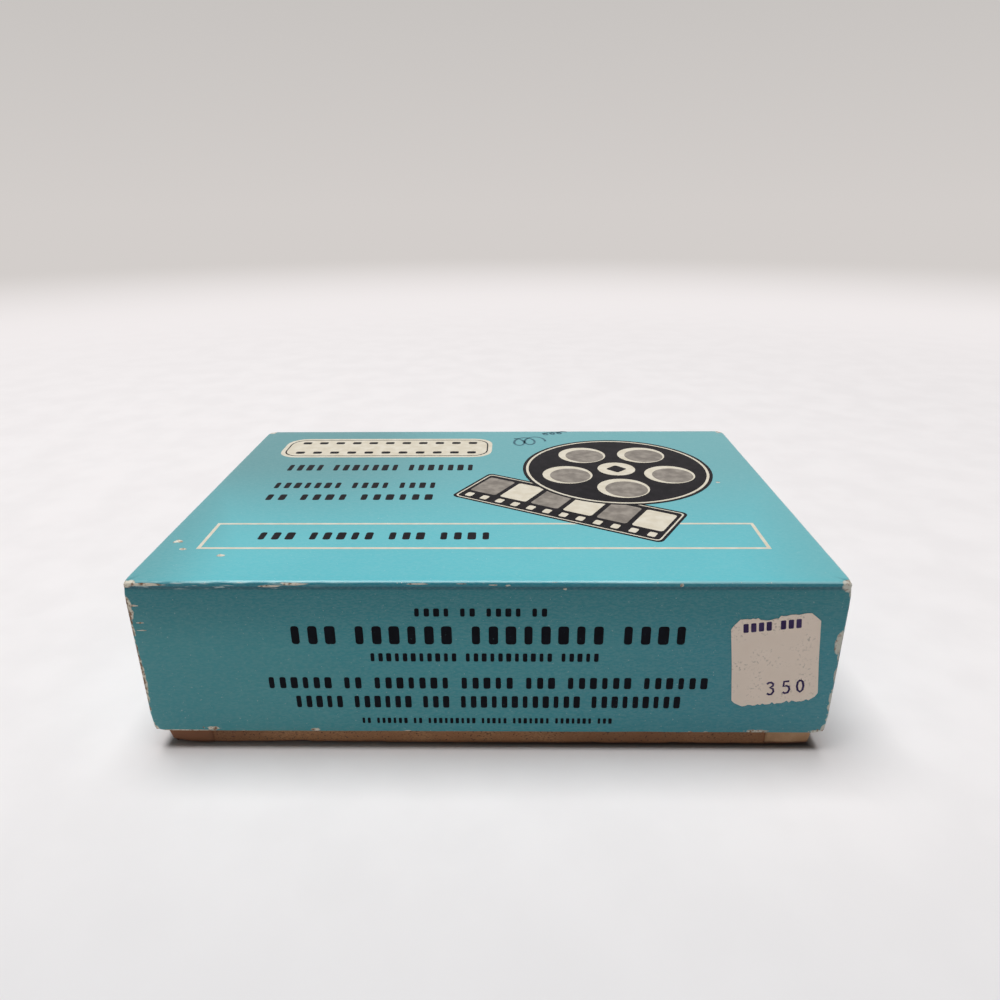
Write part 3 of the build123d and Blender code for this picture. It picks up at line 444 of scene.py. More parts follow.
def steel(name, dark, light, rough, brush, depth=0.01):
    """Bare or plated metal with a fine brushed grain and a few dull patches."""
    made = Finish(name)
    hair = made.grain(0.5 * mm, 4, brush)
    patch = made.grain(8 * mm, 3, None, 3.0)
    made.emboss(hair, depth * mm, 0.5)
    colour = made.blend(hair, dark, light)
    worn = made.band(patch, 0.5, 0.75)
    made.set(
        colour=made.blend(worn, colour, [c * 0.8 for c in light[:3]] + [1]), metal=1.0,
        rough=made.work("MULTIPLY_ADD", patch, 0.16, rough),
    )
    return made.material


# The film track: a bright steel strip, its long edges turned up, pressed into the channel across the deck.
bright_steel = steel("bright_steel", tint(196, 196, 194), tint(226, 226, 223), 0.2, (1, 0.04, 1))
track = eased("film_track", 0.12 * mm, bright_steel, "splicer_base")

# The lower beds: plated plates, each ground flat with a shallow groove for the film.
plated_steel = steel("plated_steel", tint(186, 184, 178), tint(214, 212, 205), 0.24, (0.05, 1, 1))
left_bed = eased("left_bed", 0.15 * mm, plated_steel, "splicer_base")
right_bed = eased("right_bed", 0.15 * mm, plated_steel, "right_bed_leaf")

# Pins, blades and screws: hardened steel, the blades ground along their top corner.
blade_steel = steel("blade_steel", tint(150, 152, 156), tint(205, 207, 210), 0.16, (0.03, 1, 1))
pin_steel = steel("pin_steel", tint(170, 170, 168), tint(214, 214, 212), 0.22, (1, 1, 0.3))
for node in ("fixed_blade", "moving_blade"):
    give(node, blade_steel)
for node in ("left_pins", "right_pins", "bed_screws", "side_washer", "rod_clips"):
    give(node, pin_steel)
give("hinge_rod", bright_steel)

# The oval plate: thin cream-enamelled metal pinned to the front deck, left bare.
plate_finish = Finish("plate_aluminium")
plate_cloud = plate_finish.grain(5 * mm, 4)
plate_finish.emboss(plate_finish.grain(0.4 * mm, 2), 0.01 * mm)
plate_finish.set(
    colour=plate_finish.blend(plate_finish.band(plate_cloud, 0.35, 0.7), tint(214, 206, 186), tint(226, 219, 201)),
    rough=0.4, coat=0.3, coat_rough=0.15,
)
oval = eased("nameplate", 0.12 * mm, plate_finish.material, "splicer_base")

# The dish: spun aluminium with a flat lip, a rolled knee and the fine rings that the spinning tool leaves.
dish_finish = Finish("spun_aluminium")
dish_low, dish_high = (Vector(v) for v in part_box("dish"))
dish_centre = (dish_low + dish_high) / 2
dish_about = dish_finish.put("ShaderNodeVectorMath", dish_finish.place, tuple(-dish_centre), operation="ADD")
dish_flat = dish_finish.put("ShaderNodeSeparateXYZ", dish_about.outputs[0])
dish_r = dish_finish.work("SQRT", dish_finish.work(
    "ADD", dish_finish.work("POWER", dish_flat.outputs[0], 2), dish_finish.work("POWER", dish_flat.outputs[1], 2)))
dish_lines = dish_finish.work("SINE", dish_finish.work("MULTIPLY_ADD", dish_r, 9000.0, dish_finish.grain(4 * mm)))
dish_step = dish_finish.work("MULTIPLY_ADD", dish_lines, 0.5, 0.5)
dish_finish.emboss(dish_step, 0.008 * mm, 0.6)
dish_finish.set(colour=dish_finish.blend(dish_finish.grain(3 * mm), tint(196, 195, 192), tint(226, 225, 222)),
                metal=1.0, rough=dish_finish.work("MULTIPLY_ADD", dish_step, 0.05, 0.24))

dish_lip = 20.9 * mm
dish_wall = 18.7 * mm
dish_gauge = 0.6 * mm
dish_knee = 3.4 * mm
dish_top = dish_high.z - dish_gauge
dish_floor = dish_low.z
dish_profile = [(dish_lip, dish_top), (dish_wall + 0.4 * mm, dish_top)]
for i in range(5):
    bend = math.radians(22.5 * i)
    dish_profile.append((dish_wall + (0.4 - 0.4 * math.sin(bend)) * mm, dish_top - 0.4 * mm * (1 - math.cos(bend))))
for i in range(9):
    bend = math.radians(11.25 * i)
    dish_profile.append((dish_wall - dish_knee + dish_knee * math.cos(bend),
                         dish_floor + dish_knee - dish_knee * math.sin(bend)))
dish_profile.append((8 * mm, dish_floor))
dish_profile.append((1 * mm, dish_floor))


def turned(name, profile, centre, material, steps=96, seam=()):
    """A closed form turned about an upright axis from its profile of (radius, height)."""
    spun = bmesh.new()
    rings = []
    for radius, height in profile:
        if radius < 1e-7:
            rings.append([spun.verts.new(Vector((centre[0], centre[1], height)))])
            continue
        rings.append([
            spun.verts.new(Vector((centre[0] + radius * math.cos(2 * math.pi * i / steps),
                                   centre[1] + radius * math.sin(2 * math.pi * i / steps), height)))
            for i in range(steps)
        ])
    for a, b in zip(rings, rings[1:]):
        for i in range(steps):
            j = (i + 1) % steps
            corners = []
            for vert in (a[i % len(a)], a[j % len(a)], b[j % len(b)], b[i % len(b)]):
                if vert not in corners:
                    corners.append(vert)
            if len(corners) > 2:
                spun.faces.new(corners)
    made = piece(name, spun, material)
    sharp = made.modifiers.new("edge", "EDGE_SPLIT")
    sharp.split_angle = math.radians(50)
    made.modifiers.clear()
    return made


dish_inside = [(r - (dish_gauge if 8 * mm < r < dish_lip else 0), z + dish_gauge) for r, z in dish_profile]
dish_loop = [(0, dish_floor)] + list(reversed(dish_profile)) + [(dish_lip, dish_top + dish_gauge)]
dish_loop += dish_inside[1:] + [(0, dish_floor + dish_gauge)]
dish = turned("spun_dish", dish_loop, dish_centre, dish_finish.material)
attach(dish, "splicer_base")
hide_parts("dish")

# The side spring: hard spring wire coiled on the rod; it presses the moving bed's blade to the fixed one.
spring_low, spring_high = (Vector(v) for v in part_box("side_spring"))
spring_wire = 0.6 * mm
spring_turns = 4
spring_steel = steel("spring_steel", tint(150, 150, 150), tint(198, 198, 196), 0.2, (1, 1, 1))
spring_r = 2.3 * mm
hinge_x = -1.5 * mm
hinge_z = 25.1 * mm
spring_path = bpy.data.curves.new("side_spring_coil", "CURVE")
spring_path.dimensions = "3D"
spring_path.bevel_depth = spring_wire / 2
spring_path.bevel_resolution = 4
spring_path.use_fill_caps = True
spring_line = spring_path.splines.new("NURBS")
spring_steps = 24 * spring_turns
spring_from = spring_high.y - spring_wire
spring_to = spring_low.y + spring_wire
spring_line.points.add(spring_steps)
for i, point in enumerate(spring_line.points):
    angle = 2 * math.pi * spring_turns * i / spring_steps
    point.co = (hinge_x + spring_r * math.cos(angle), spring_from + (spring_to - spring_from) * i / spring_steps,
                hinge_z + spring_r * math.sin(angle), 1)
spring_line.order_u = 4
spring_line.use_endpoint_u = True
spring_curve = bpy.data.objects.new("side_spring_line", spring_path)
bpy.context.scene.collection.objects.link(spring_curve)
bpy.context.view_layer.update()
spring_mesh = bpy.data.meshes.new_from_object(spring_curve.evaluated_get(bpy.context.evaluated_depsgraph_get()))
bpy.data.objects.remove(spring_curve)
spring = bpy.data.objects.new("side_spring_coil", spring_mesh)
bpy.context.scene.collection.objects.link(spring)
spring_mesh.materials.clear()
spring_mesh.materials.append(spring_steel)
for polygon in spring_mesh.polygons:
    polygon.use_smooth = True
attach(spring, "splicer_base")
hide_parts("side_spring")

# The clamp plates: stamped, bright satin plates with a pressed panel, pin slots and rolled knuckles.
clamp_steel = steel("clamp_steel", tint(200, 198, 192), tint(228, 226, 220), 0.28, (1, 0.06, 1), 0.014)
left_clamp = eased("left_clamp", 0.14 * mm, clamp_steel, "left_clamp_leaf")
right_clamp = eased("right_clamp", 0.14 * mm, clamp_steel, "right_clamp_leaf")

# The finger knobs: small turned brass knobs, their stems riveted through the plates' lobes.
# Each has a waist, a domed crown and two grooves round its grip.
knob_finish = steel("turned_knob", tint(196, 172, 118), tint(222, 202, 152), 0.2, (1, 1, 0.1))
knob_r = 2.75 * mm
knob_stem = 1.3 * mm
knob_waist = 1.65 * mm
plate_gauge = 1.2 * mm
for node, leaf in (("left_knob", "left_clamp_leaf"), ("right_knob", "right_clamp_leaf")):
    low, high = (Vector(v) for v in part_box(node))
    seat = low.z + plate_gauge
    knob_side = [(0, low.z), (knob_stem - 0.15 * mm, low.z), (knob_stem, low.z + 0.15 * mm), (knob_stem, seat),
                 (knob_waist, seat), (knob_waist + 0.1 * mm, seat + 0.6 * mm), (knob_r - 0.2 * mm, seat + 2.2 * mm),
                 (knob_r, seat + 2.5 * mm)]
    for groove in (2.9, 3.5):
        knob_side += [(knob_r, seat + groove * mm), (knob_r - 0.14 * mm, seat + (groove + 0.12) * mm),
                      (knob_r, seat + (groove + 0.24) * mm)]
    crown = high.z - 0.7 * mm
    for i in range(9):
        bend = math.radians(90 * i / 8)
        knob_side.append((knob_r * (0.72 + 0.28 * math.cos(bend)) if i < 8 else 0.72 * knob_r,
                          crown + 0.62 * mm * math.sin(bend)))
    knob_side += [(0.36 * knob_r, high.z - 0.02 * mm), (0, high.z)]
    knob = turned(node.replace("knob", "finger_knob"), knob_side, (low + high) / 2, knob_finish, 64)
    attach(knob, leaf)
    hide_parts(node)
give("catch_spring", spring_steel)

# The lid's board: the same brown chipboard, scored and folded down over the tray's walls.
# The wrap hides it, so it shows only at the rim and from below.
wrap_x = 73.025 * mm
wrap_y = 50.8 * mm
wrap_top = 41.94 * mm
wrap_bottom = 5.1 * mm


def bent(corners, longest=4 * mm):
    """The middle line of a folded sheet: straight runs with an arc at each corner of (outwards, up, radius)."""
    spots = [Vector((out, up)) for out, up, radius in corners]
    line = [spots[0]]
    for before, corner, after, shape in zip(spots, spots[1:], spots[2:], corners[1:]):
        back = (before - corner).normalized()
        ahead = (after - corner).normalized()
        half = back.angle(ahead) / 2
        reach = shape[2] / math.tan(half)
        centre = corner + (back + ahead).normalized() * (shape[2] / math.sin(half))
        start, end = corner + back * reach - centre, corner + ahead * reach - centre
        steps = max(2, round(math.degrees(math.pi - 2 * half) / 15))
        line += [centre + start.lerp(end, k / steps).normalized() * shape[2] for k in range(steps + 1)]
    line.append(spots[-1])
    runs = [line[0]]
    for a, b in zip(line, line[1:]):
        parts = max(1, math.ceil((b - a).length / longest))
        runs += [a.lerp(b, k / parts) for k in range(1, parts + 1)]
    return runs


def both_faces(line, gauge):
    """Out along one face of a sheet of this gauge and back along the other."""
    faces = ([], [])
    for i, spot in enumerate(line):
        way = (line[min(i + 1, len(line) - 1)] - line[max(i - 1, 0)]).normalized()
        for face, side in zip(faces, (1, -1)):
            face.append((spot.x - way.y * side * gauge / 2, spot.y + way.x * side * gauge / 2))
    return faces[0] + faces[1][::-1]


lid_gauge = 0.78 * mm
lid_line = bent([(-6 * mm, wrap_top - 0.72 * mm, 0), (-0.85 * mm, wrap_top - 0.72 * mm, 0.5 * mm),
                 (-0.85 * mm, wrap_bottom + 0.2 * mm, 0)])
lid_board = folded("folded_lid", wrap_x, wrap_y, 0.3 * mm, both_faces(lid_line, lid_gauge), board_finish.material)
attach(lid_board, "carton_lid")
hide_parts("lid_board")

# The lid's wrap: glossy printed paper glued over the board and turned in at the lower edge.
# The top's fold stands proud as a lip, with the paper drawn in below it.
# Its corners and long edges have rubbed through to the white core of the paper and the board below. Its colour also
# holds painted shade, a painted highlight along its edges and a few painted glints.
wrap_paper = 0.15 * mm
wrap_face = -0.125 * mm
wrap_line = bent([
    (-6 * mm, wrap_top - wrap_paper / 2, 0),
    (-0.64 * mm, wrap_top - wrap_paper / 2, 0.1 * mm),
    (-0.19 * mm, wrap_top - 0.34 * mm, 0.2 * mm),
    (wrap_face, wrap_top - 0.62 * mm, 0.2 * mm),
    (-0.38 * mm, wrap_top - 1.75 * mm, 0.4 * mm),
    (-0.19 * mm, wrap_top - 3.0 * mm, 2 * mm),
    (wrap_face, wrap_top - 5.5 * mm, 6 * mm),
    (wrap_face, wrap_bottom + wrap_paper / 2, 0.14 * mm),
    (-1.325 * mm, wrap_bottom + wrap_paper / 2, 0.14 * mm),
    (-1.325 * mm, wrap_bottom + 10 * mm, 0),
])
wrap_rows = both_faces(wrap_line, wrap_paper)


def handled(at, out):
    """Knocks along the lid's corners and edges."""
    near_x = wrap_x - abs(at.x)
    near_y = wrap_y - abs(at.y)
    inwards = Vector((math.copysign(max(0.0, 1 - near_x / (1.2 * mm)), -at.x),
                      math.copysign(max(0.0, 1 - near_y / (1.2 * mm)), -at.y), 0))
    corner = max(0.0, 1 - max(near_x, near_y) / (3 * mm))
    top = max(0.0, 1 - (wrap_top - at.z) / (2.5 * mm))
    knock = abs(noise.noise(at * 260)) * 0.18 + abs(noise.noise(at * 800)) * 0.12
    slack = abs(noise.noise(at * 60)) * 0.06
    low = max(0.0, 1 - (at.z - wrap_bottom) / (2.5 * mm))
    wave = low * abs(noise.noise(Vector((at.x, at.y, 0)) * 75)) * 0.14
    tip = max(0.0, 1 - max(near_x, near_y) / (2.2 * mm))
    tip_low = tip * max(0.0, 1 - (at.z - wrap_bottom) / (2.0 * mm))
    tip_top = tip * max(0.0, 1 - (wrap_top - at.z) / (1.6 * mm))
    pull = corner * knock + top * (0.3 * knock + slack) + 0.3 * tip_low + 0.25 * tip_top
    return at + inwards * (pull * mm) + Vector((0, 0, (wave + 0.6 * tip_low - 0.3 * tip_top) * mm))


wrap_finish = Finish("printed_paper")
wrap_at = wrap_finish.put("ShaderNodeSeparateXYZ", wrap_finish.place)
wrap_ax = wrap_finish.work("SUBTRACT", wrap_x, wrap_finish.work("ABSOLUTE", wrap_at.outputs[0]))
wrap_ay = wrap_finish.work("SUBTRACT", wrap_y, wrap_finish.work("ABSOLUTE", wrap_at.outputs[1]))
wrap_az = wrap_finish.work("SUBTRACT", wrap_top, wrap_at.outputs[2])
wrap_low = wrap_finish.work("SUBTRACT", wrap_at.outputs[2], wrap_bottom)
upright_edge = wrap_finish.work("MAXIMUM", wrap_ax, wrap_ay)
top_edge = wrap_finish.work("MAXIMUM", wrap_finish.work("MINIMUM", wrap_ax, wrap_ay), wrap_az)
rough_noise = wrap_finish.grain(3.2 * mm, 6)
fine_noise = wrap_finish.grain(0.9 * mm, 4, None, 2.0)
long_noise = wrap_finish.grain(16 * mm, 3, None, 5.0)


def rubbed(distance, reach, noise_source, low, high):
    """How far the print has gone near an edge: reach metres wide where the noise is high."""
    width = wrap_finish.work("MULTIPLY", wrap_finish.band(noise_source, low, high), reach)
    return wrap_finish.work("MULTIPLY", wrap_finish.work("SUBTRACT", width, distance), 1 / (0.2 * mm), clamp=True)


def patch(spot, reach, source=None, raggedness=2.2):
    """A rubbed place, or a painted glint, round one spot, so far each way, all in millimetres, with a ragged edge."""
    from_spot = wrap_finish.put("ShaderNodeVectorMath", wrap_finish.place, [c * mm for c in spot], operation="SUBTRACT")
    scaled = wrap_finish.put("ShaderNodeVectorMath", from_spot.outputs[0], [c * mm for c in reach], operation="DIVIDE")
    away = wrap_finish.put("ShaderNodeVectorMath", scaled.outputs[0], operation="LENGTH").outputs["Value"]
    ragged = wrap_finish.work("MULTIPLY_ADD", wrap_finish.work("SUBTRACT", source or rough_noise, 0.5), raggedness, away)
    return wrap_finish.work("MULTIPLY", wrap_finish.work("SUBTRACT", 1.0, ragged), 5.0, clamp=True)


streak_noise = wrap_finish.grain(0.55 * mm, 4, (0.14, 1, 1), 11.0)
rub_and_glint_marks = [
    rubbed(upright_edge, 0.8 * mm, rough_noise, 0.4, 0.66),
    rubbed(top_edge, 0.5 * mm, fine_noise, 0.56, 0.74), rubbed(top_edge, 0.4 * mm, streak_noise, 0.6, 0.68),
    rubbed(wrap_low, 0.5 * mm, rough_noise, 0.55, 0.7),
    patch((-73, -50.8, 41.6), (3.0, 1.6, 1.3)), patch((-69.6, -50.8, 41.25), (5.4, 0.5, 0.42), streak_noise),
    patch((-73, -50.8, 35), (1.2, 1.2, 3.4)), patch((-73, -50.8, 20), (0.9, 0.9, 8.5)),
    patch((-71.6, -50.8, 36.4), (1.1, 0.6, 0.22), fine_noise), patch((-70.9, -50.8, 32.4), (1.0, 0.6, 0.16), fine_noise),
    patch((-71.0, -50.8, 30.6), (1.0, 0.6, 0.14), fine_noise), patch((-66, -50.8, 5.15), (7.5, 1.0, 0.3), streak_noise, 1.2),
    # Painted glints: the four small marks along the middle of the front's top edge stand for glints of light, drawn as
    # rubs through the print.
    patch((-13.5, -50.8, 41.45), (2.2, 0.5, 0.13), streak_noise), patch((-5, -50.8, 41.5), (1.4, 0.5, 0.12), streak_noise),
    patch((1.6, -50.8, 41.2), (1.0, 0.5, 0.16), fine_noise), patch((4.6, -50.8, 41.1), (0.5, 0.5, 0.3), fine_noise),
    patch((73, -50.8, 41.2), (2.0, 1.6, 2.4)), patch((72.4, -50.8, 27.6), (0.9, 1.0, 3.4)),
    patch((73, -50.8, 6.0), (1.0, 1.0, 1.4)), patch((-73, -50.8, 5.6), (1.2, 1.2, 1.4)),
    patch((-60.0, -50.8, 5.9), (1.6, 1, 0.5), fine_noise), patch((-37.4, -50.8, 5.6), (1.0, 1, 0.4), fine_noise),
    patch((58, -50.8, 5.5), (2.6, 1, 0.4), fine_noise), patch((71, -50.8, 5.4), (1.9, 1, 0.5), fine_noise),
    patch((-38.5, -50.8, 41.4), (3.0, 0.5, 0.34), streak_noise), patch((-43, -50.8, 40.9), (2.2, 0.5, 0.3), streak_noise),
    patch((39.2, -50.8, 41.2), (0.4, 0.5, 0.5), fine_noise), patch((16, -50.8, 40.2), (0.5, 0.5, 0.3), fine_noise),
    patch((-69.2, -31.9, 41.94), (1.1, 0.8, 1), fine_noise), patch((-66.6, -35.9, 41.94), (0.9, 0.5, 1), fine_noise),
    patch((-57, -38.9, 41.94), (0.9, 0.6, 1), fine_noise), patch((60, 4.3, 41.94), (0.7, 0.5, 1), fine_noise),
    patch((-72, 50, 41.9), (1.6, 1.6, 1.6)), patch((72, 50, 41.9), (1.6, 1.6, 1.6)),
    patch((-73, 50.8, 20), (0.9, 0.9, 6)), patch((73, 50.8, 12), (0.9, 0.9, 5)),
]
rubbed_and_glinting = rub_and_glint_marks[0]
for mark in rub_and_glint_marks[1:]:
    rubbed_and_glinting = wrap_finish.work("MAXIMUM", rubbed_and_glinting, mark)
scuffs = wrap_finish.work("MULTIPLY", wrap_finish.band(streak_noise, 0.56, 0.66), wrap_finish.work(
    "MULTIPLY", wrap_finish.band(wrap_at.outputs[0], -30 * mm, -46 * mm), wrap_finish.work(
        "MULTIPLY", wrap_finish.band(wrap_az, 2.0 * mm, 1.5 * mm), wrap_finish.band(wrap_az, 0.1 * mm, 0.4 * mm))))
teal_cloud = wrap_finish.grain(40 * mm, 3, None, 1.0)
# Painted shade and painted reflection: the top's teal turns darker and greyer towards its back and its two ends, more
# so at the left, standing for the light falling off and the pale wall's sheen on the gloss.
top_back_shading = wrap_finish.band(wrap_at.outputs[1], -44 * mm, 24 * mm)
top_end_shading = wrap_finish.band(wrap_ax, 22 * mm, 0.0)
teal_top = wrap_finish.blend(wrap_finish.band(teal_cloud, 0.3, 0.7), tint(90, 187, 198), tint(94, 191, 201))
teal_top_shaded = wrap_finish.blend(wrap_finish.band(wrap_at.outputs[0], -2 * mm, -46 * mm), tint(95, 170, 177), tint(83, 148, 154))
teal_top = wrap_finish.blend(wrap_finish.work("MAXIMUM", top_back_shading, wrap_finish.work("MULTIPLY", top_end_shading, 0.7)),
                             teal_top, teal_top_shaded)
# Painted shade: the sides' teal is written darker than the top's for the lesser light they get, and darker again
# towards the right and up under the top's fold.
teal_side_shaded = wrap_finish.blend(wrap_finish.band(teal_cloud, 0.3, 0.7), tint(56, 147, 157), tint(66, 151, 158))
teal_side_shaded = wrap_finish.blend(wrap_finish.band(wrap_at.outputs[0], -10 * mm, 60 * mm), teal_side_shaded, tint(49, 138, 152))
teal_side_shaded = wrap_finish.blend(wrap_finish.band(wrap_az, 17 * mm, 2.5 * mm), teal_side_shaded, tint(42, 128, 138))
# Painted shade: a dark band in the crease below the top's fold, darkest in its lower part.
crease_shade = wrap_finish.work("MULTIPLY", wrap_finish.band(wrap_az, 0.1 * mm, 0.3 * mm),
                          wrap_finish.band(wrap_az, 2.1 * mm, 1.6 * mm))
teal_side_shaded = wrap_finish.blend(crease_shade, teal_side_shaded, wrap_finish.blend(
    wrap_finish.band(wrap_az, 0.9 * mm, 1.3 * mm), tint(4, 128, 146), tint(4, 94, 110)))
# The fold's rounding already takes the painted, shaded side teal, which dims its highlight.
teal = wrap_finish.blend(wrap_finish.band(wrap_az, 0.03 * mm, 0.24 * mm), teal_top, teal_side_shaded)
paper_pore = wrap_finish.band(wrap_finish.grain(0.3 * mm, 2, (0.4, 1, 1), 8.0), 0.3, 0.75)
teal = wrap_finish.blend(wrap_finish.work("MULTIPLY", paper_pore, 0.07), teal, tint(200, 226, 226))
fleck = wrap_finish.band(wrap_finish.grain(0.42 * mm, 1, None, 12.0), 0.74, 0.78)
teal = wrap_finish.blend(wrap_finish.work("MULTIPLY", fleck, 0.3), teal, tint(214, 226, 224))
teal = wrap_finish.blend(wrap_finish.work("MULTIPLY", scuffs, 0.75), teal, tint(196, 214, 212))
# Painted highlight: a pale line along the top's folded edges, strong at the right, broken into streaks at the left and
# faint between, and along the upright edges.
painted_highlight = wrap_finish.work("MULTIPLY", wrap_finish.band(top_edge, 0.75 * mm, 0.3 * mm),
                         wrap_finish.band(wrap_az, 0.6 * mm, 0.3 * mm))
highlight_left = wrap_finish.work("MULTIPLY", wrap_finish.band(wrap_at.outputs[0], -20 * mm, -38 * mm),
                              wrap_finish.band(streak_noise, 0.42, 0.58))
highlight_right = wrap_finish.work("MAXIMUM", wrap_finish.band(wrap_at.outputs[0], 12 * mm, 34 * mm), 0.12)
painted_highlight = wrap_finish.work("MULTIPLY", painted_highlight, wrap_finish.work("MAXIMUM", highlight_left, highlight_right))
painted_highlight = wrap_finish.work("MAXIMUM", painted_highlight, wrap_finish.work(
    "MULTIPLY", wrap_finish.band(upright_edge, 0.42 * mm, 0.16 * mm), 0.8))
teal = wrap_finish.blend(wrap_finish.work("MULTIPLY", painted_highlight, 0.45), teal, tint(178, 228, 232))
core_brown = wrap_finish.band(wrap_finish.work("MULTIPLY_ADD", wrap_finish.band(upright_edge, 0.8 * mm, 0.2 * mm),
                                                wrap_finish.work("MULTIPLY_ADD", wrap_finish.band(
    wrap_at.outputs[0], -20 * mm, 20 * mm), 0.2, -0.12), fine_noise), 0.3, 0.54)
core_pale = wrap_finish.blend(wrap_finish.band(wrap_at.outputs[0], -30 * mm, 40 * mm), tint(232, 224, 207), tint(208, 207, 196))
core = wrap_finish.blend(core_brown, tint(134, 98, 70), core_pale)
wrap_finish.emboss(wrap_finish.grain(0.5 * mm, 2, None, 3.0), 0.012 * mm, 0.3)
wrap_finish.emboss(long_noise, 0.3 * mm, 0.3)
wrap_finish.emboss(wrap_finish.work("SUBTRACT", 1.0, rubbed_and_glinting), 0.08 * mm, 0.8)
wrap_finish.set(colour=wrap_finish.blend(rubbed_and_glinting, teal, core),
                rough=wrap_finish.work("MULTIPLY_ADD", rubbed_and_glinting, 0.45, 0.34), coat=0.42, coat_rough=0.12, specular=0.15)
wrap = folded("lid_paper", wrap_x, wrap_y, 0.3 * mm, wrap_rows, wrap_finish.material, handled)
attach(wrap, "carton_lid")
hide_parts("lid_wrap")

# The wrap's four glued flaps: where the paper of the long sides turns round each corner onto the short sides.
flap_rows = [row for row in wrap_rows[:wrap_rows.index(min(wrap_rows, key=lambda row: row[1]))]
             if wrap_bottom + 0.4 * mm < row[1] < wrap_top - 0.7 * mm]
flaps = bmesh.new()
for side_x in (-1, 1):
    for side_y in (-1, 1):
        bands = []
        for offset, height in flap_rows:
            edge = wrap_y - (10 + 3 * (wrap_top - height) / (wrap_top - wrap_bottom)) * mm
            bands.append([
                flaps.verts.new((side_x * (wrap_x + offset + lift), side_y * along, height))
                for lift, along in ((-0.03 * mm, wrap_y - 0.4 * mm), (0.04 * mm, wrap_y - 0.4 * mm), (0.04 * mm, edge),
                                    (-0.03 * mm, edge))
            ])
        for a, b in zip(bands, bands[1:]):
            for i in range(4):
                flaps.faces.new((a[i], a[(i + 1) % 4], b[(i + 1) % 4], b[i]))
        flaps.faces.new(bands[0])
        flaps.faces.new(list(reversed(bands[-1])))
flap_piece = piece("paper_flaps", flaps, wrap_finish.material, smooth=False)
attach(flap_piece, "carton_lid")

# The print on top of the lid: cream and black ink, laid on as flat shapes.
# A bare film-leader badge, rows of plain marks, a ruled frame, and a cine reel with a strip of film.
ink_top = 0.005 * mm
ink_front = 0.012 * mm


def on_top(across, back, level):
    """Millimetres from the lid's left and back edges, and how many inks deep."""
    return Vector((across * mm - wrap_x, wrap_y - back * mm, wrap_top + level * ink_top))


def on_front(across, down, level):
    """Millimetres from the lid's left and top edges, and how many inks deep."""
    return Vector((across * mm - wrap_x, -wrap_y + 0.05 * mm - level * ink_front, 42 * mm - down * mm))


def printed(ink, outline, where, level):
    """One flat shape of ink with a real thickness."""
    low = [ink.verts.new(where(u, v, level - 2)) for u, v in outline]
    high = [ink.verts.new(where(u, v, level)) for u, v in outline]
    ink.faces.new(high)
    ink.faces.new(list(reversed(low)))
    for i in range(len(outline)):
        j = (i + 1) % len(outline)
        ink.faces.new((low[i], low[j], high[j], high[i]))


def lozenge(cx, cy, width, height, radius, turned_by=0.0, steps=5):
    """Outline of a rounded rectangle, or of a disc where the radius is half its size."""
    outline = []
    tilt = math.radians(turned_by)
    for sx, sy, start in ((1, 1, 0), (-1, 1, 90), (-1, -1, 180), (1, -1, 270)):
        for i in range(steps + 1):
            angle = math.radians(start + 90 * i / steps)
            x = sx * (width / 2 - radius) + radius * math.cos(angle)
            y = sy * (height / 2 - radius) + radius * math.sin(angle)
            outline.append((cx + x * math.cos(tilt) - y * math.sin(tilt), cy + x * math.sin(tilt) + y * math.cos(tilt)))
    return outline


def stroked(ink, points, width, where, level):
    """A pen or type stroke along points, with a real thickness."""
    rails = []
    for i, (u, v) in enumerate(points):
        before = points[max(0, i - 1)]
        after = points[min(len(points) - 1, i + 1)]
        du, dv = after[0] - before[0], after[1] - before[1]
        size = math.hypot(du, dv) or 1
        side = (-dv / size * width / 2, du / size * width / 2)
        rails.append([ink.verts.new(where(u + s * side[0], v + s * side[1], l))
                      for s, l in ((1, level - 2), (-1, level - 2), (-1, level), (1, level))])
    for a, b in zip(rails, rails[1:]):
        for i in range(4):
            ink.faces.new((a[i], a[(i + 1) % 4], b[(i + 1) % 4], b[i]))
    ink.faces.new(rails[0])
    ink.faces.new(list(reversed(rails[-1])))


def marks(ink, left, right, top, bottom, words, where, level=3):
    """A row of plain upright marks in groups, as long and as dark as a line of type."""
    letters = sum(words)
    gap = 0.34
    space = 1.25
    wide = (right - left) / (letters + gap * (letters - len(words)) + space * (len(words) - 1))
    at = left
    for word, count in enumerate(words):
        for i in range(count):
            slim = 0.62 + 0.2 * ((i * 7 + word * 3) % 3) / 2
            printed(ink, lozenge(at + wide / 2, (top + bottom) / 2, wide * slim, bottom - top, wide * 0.2, 0, 2),
                    where, level)
            at += wide * (1 + (gap if i < count - 1 else 0))
        at += wide * space


def ink_finish(name, colour, other, rough):
    made = Finish(name)
    made.emboss(made.grain(0.6 * mm, 3), 0.01 * mm, 0.4)
    cloud = made.band(made.grain(2.5 * mm, 4), 0.3, 0.75)
    fade = made.band(made.grain(0.6 * mm, 3, None, 6.0), 0.68, 0.76)
    made.set(colour=made.blend(made.work("MULTIPLY", fade, 0.25), made.blend(cloud, colour, other), tint(96, 140, 146)),
             rough=rough, specular=0.06)
    return made.material


black_ink = ink_finish("black_ink", tint(16, 15, 20), tint(30, 27, 32), 0.4)
cream_ink = ink_finish("cream_ink", tint(214, 205, 186), tint(226, 219, 203), 0.45)
grey_ink = ink_finish("grey_ink", tint(128, 121, 114), tint(160, 152, 143), 0.45)
blacks, creams, greys = bmesh.new(), bmesh.new(), bmesh.new()

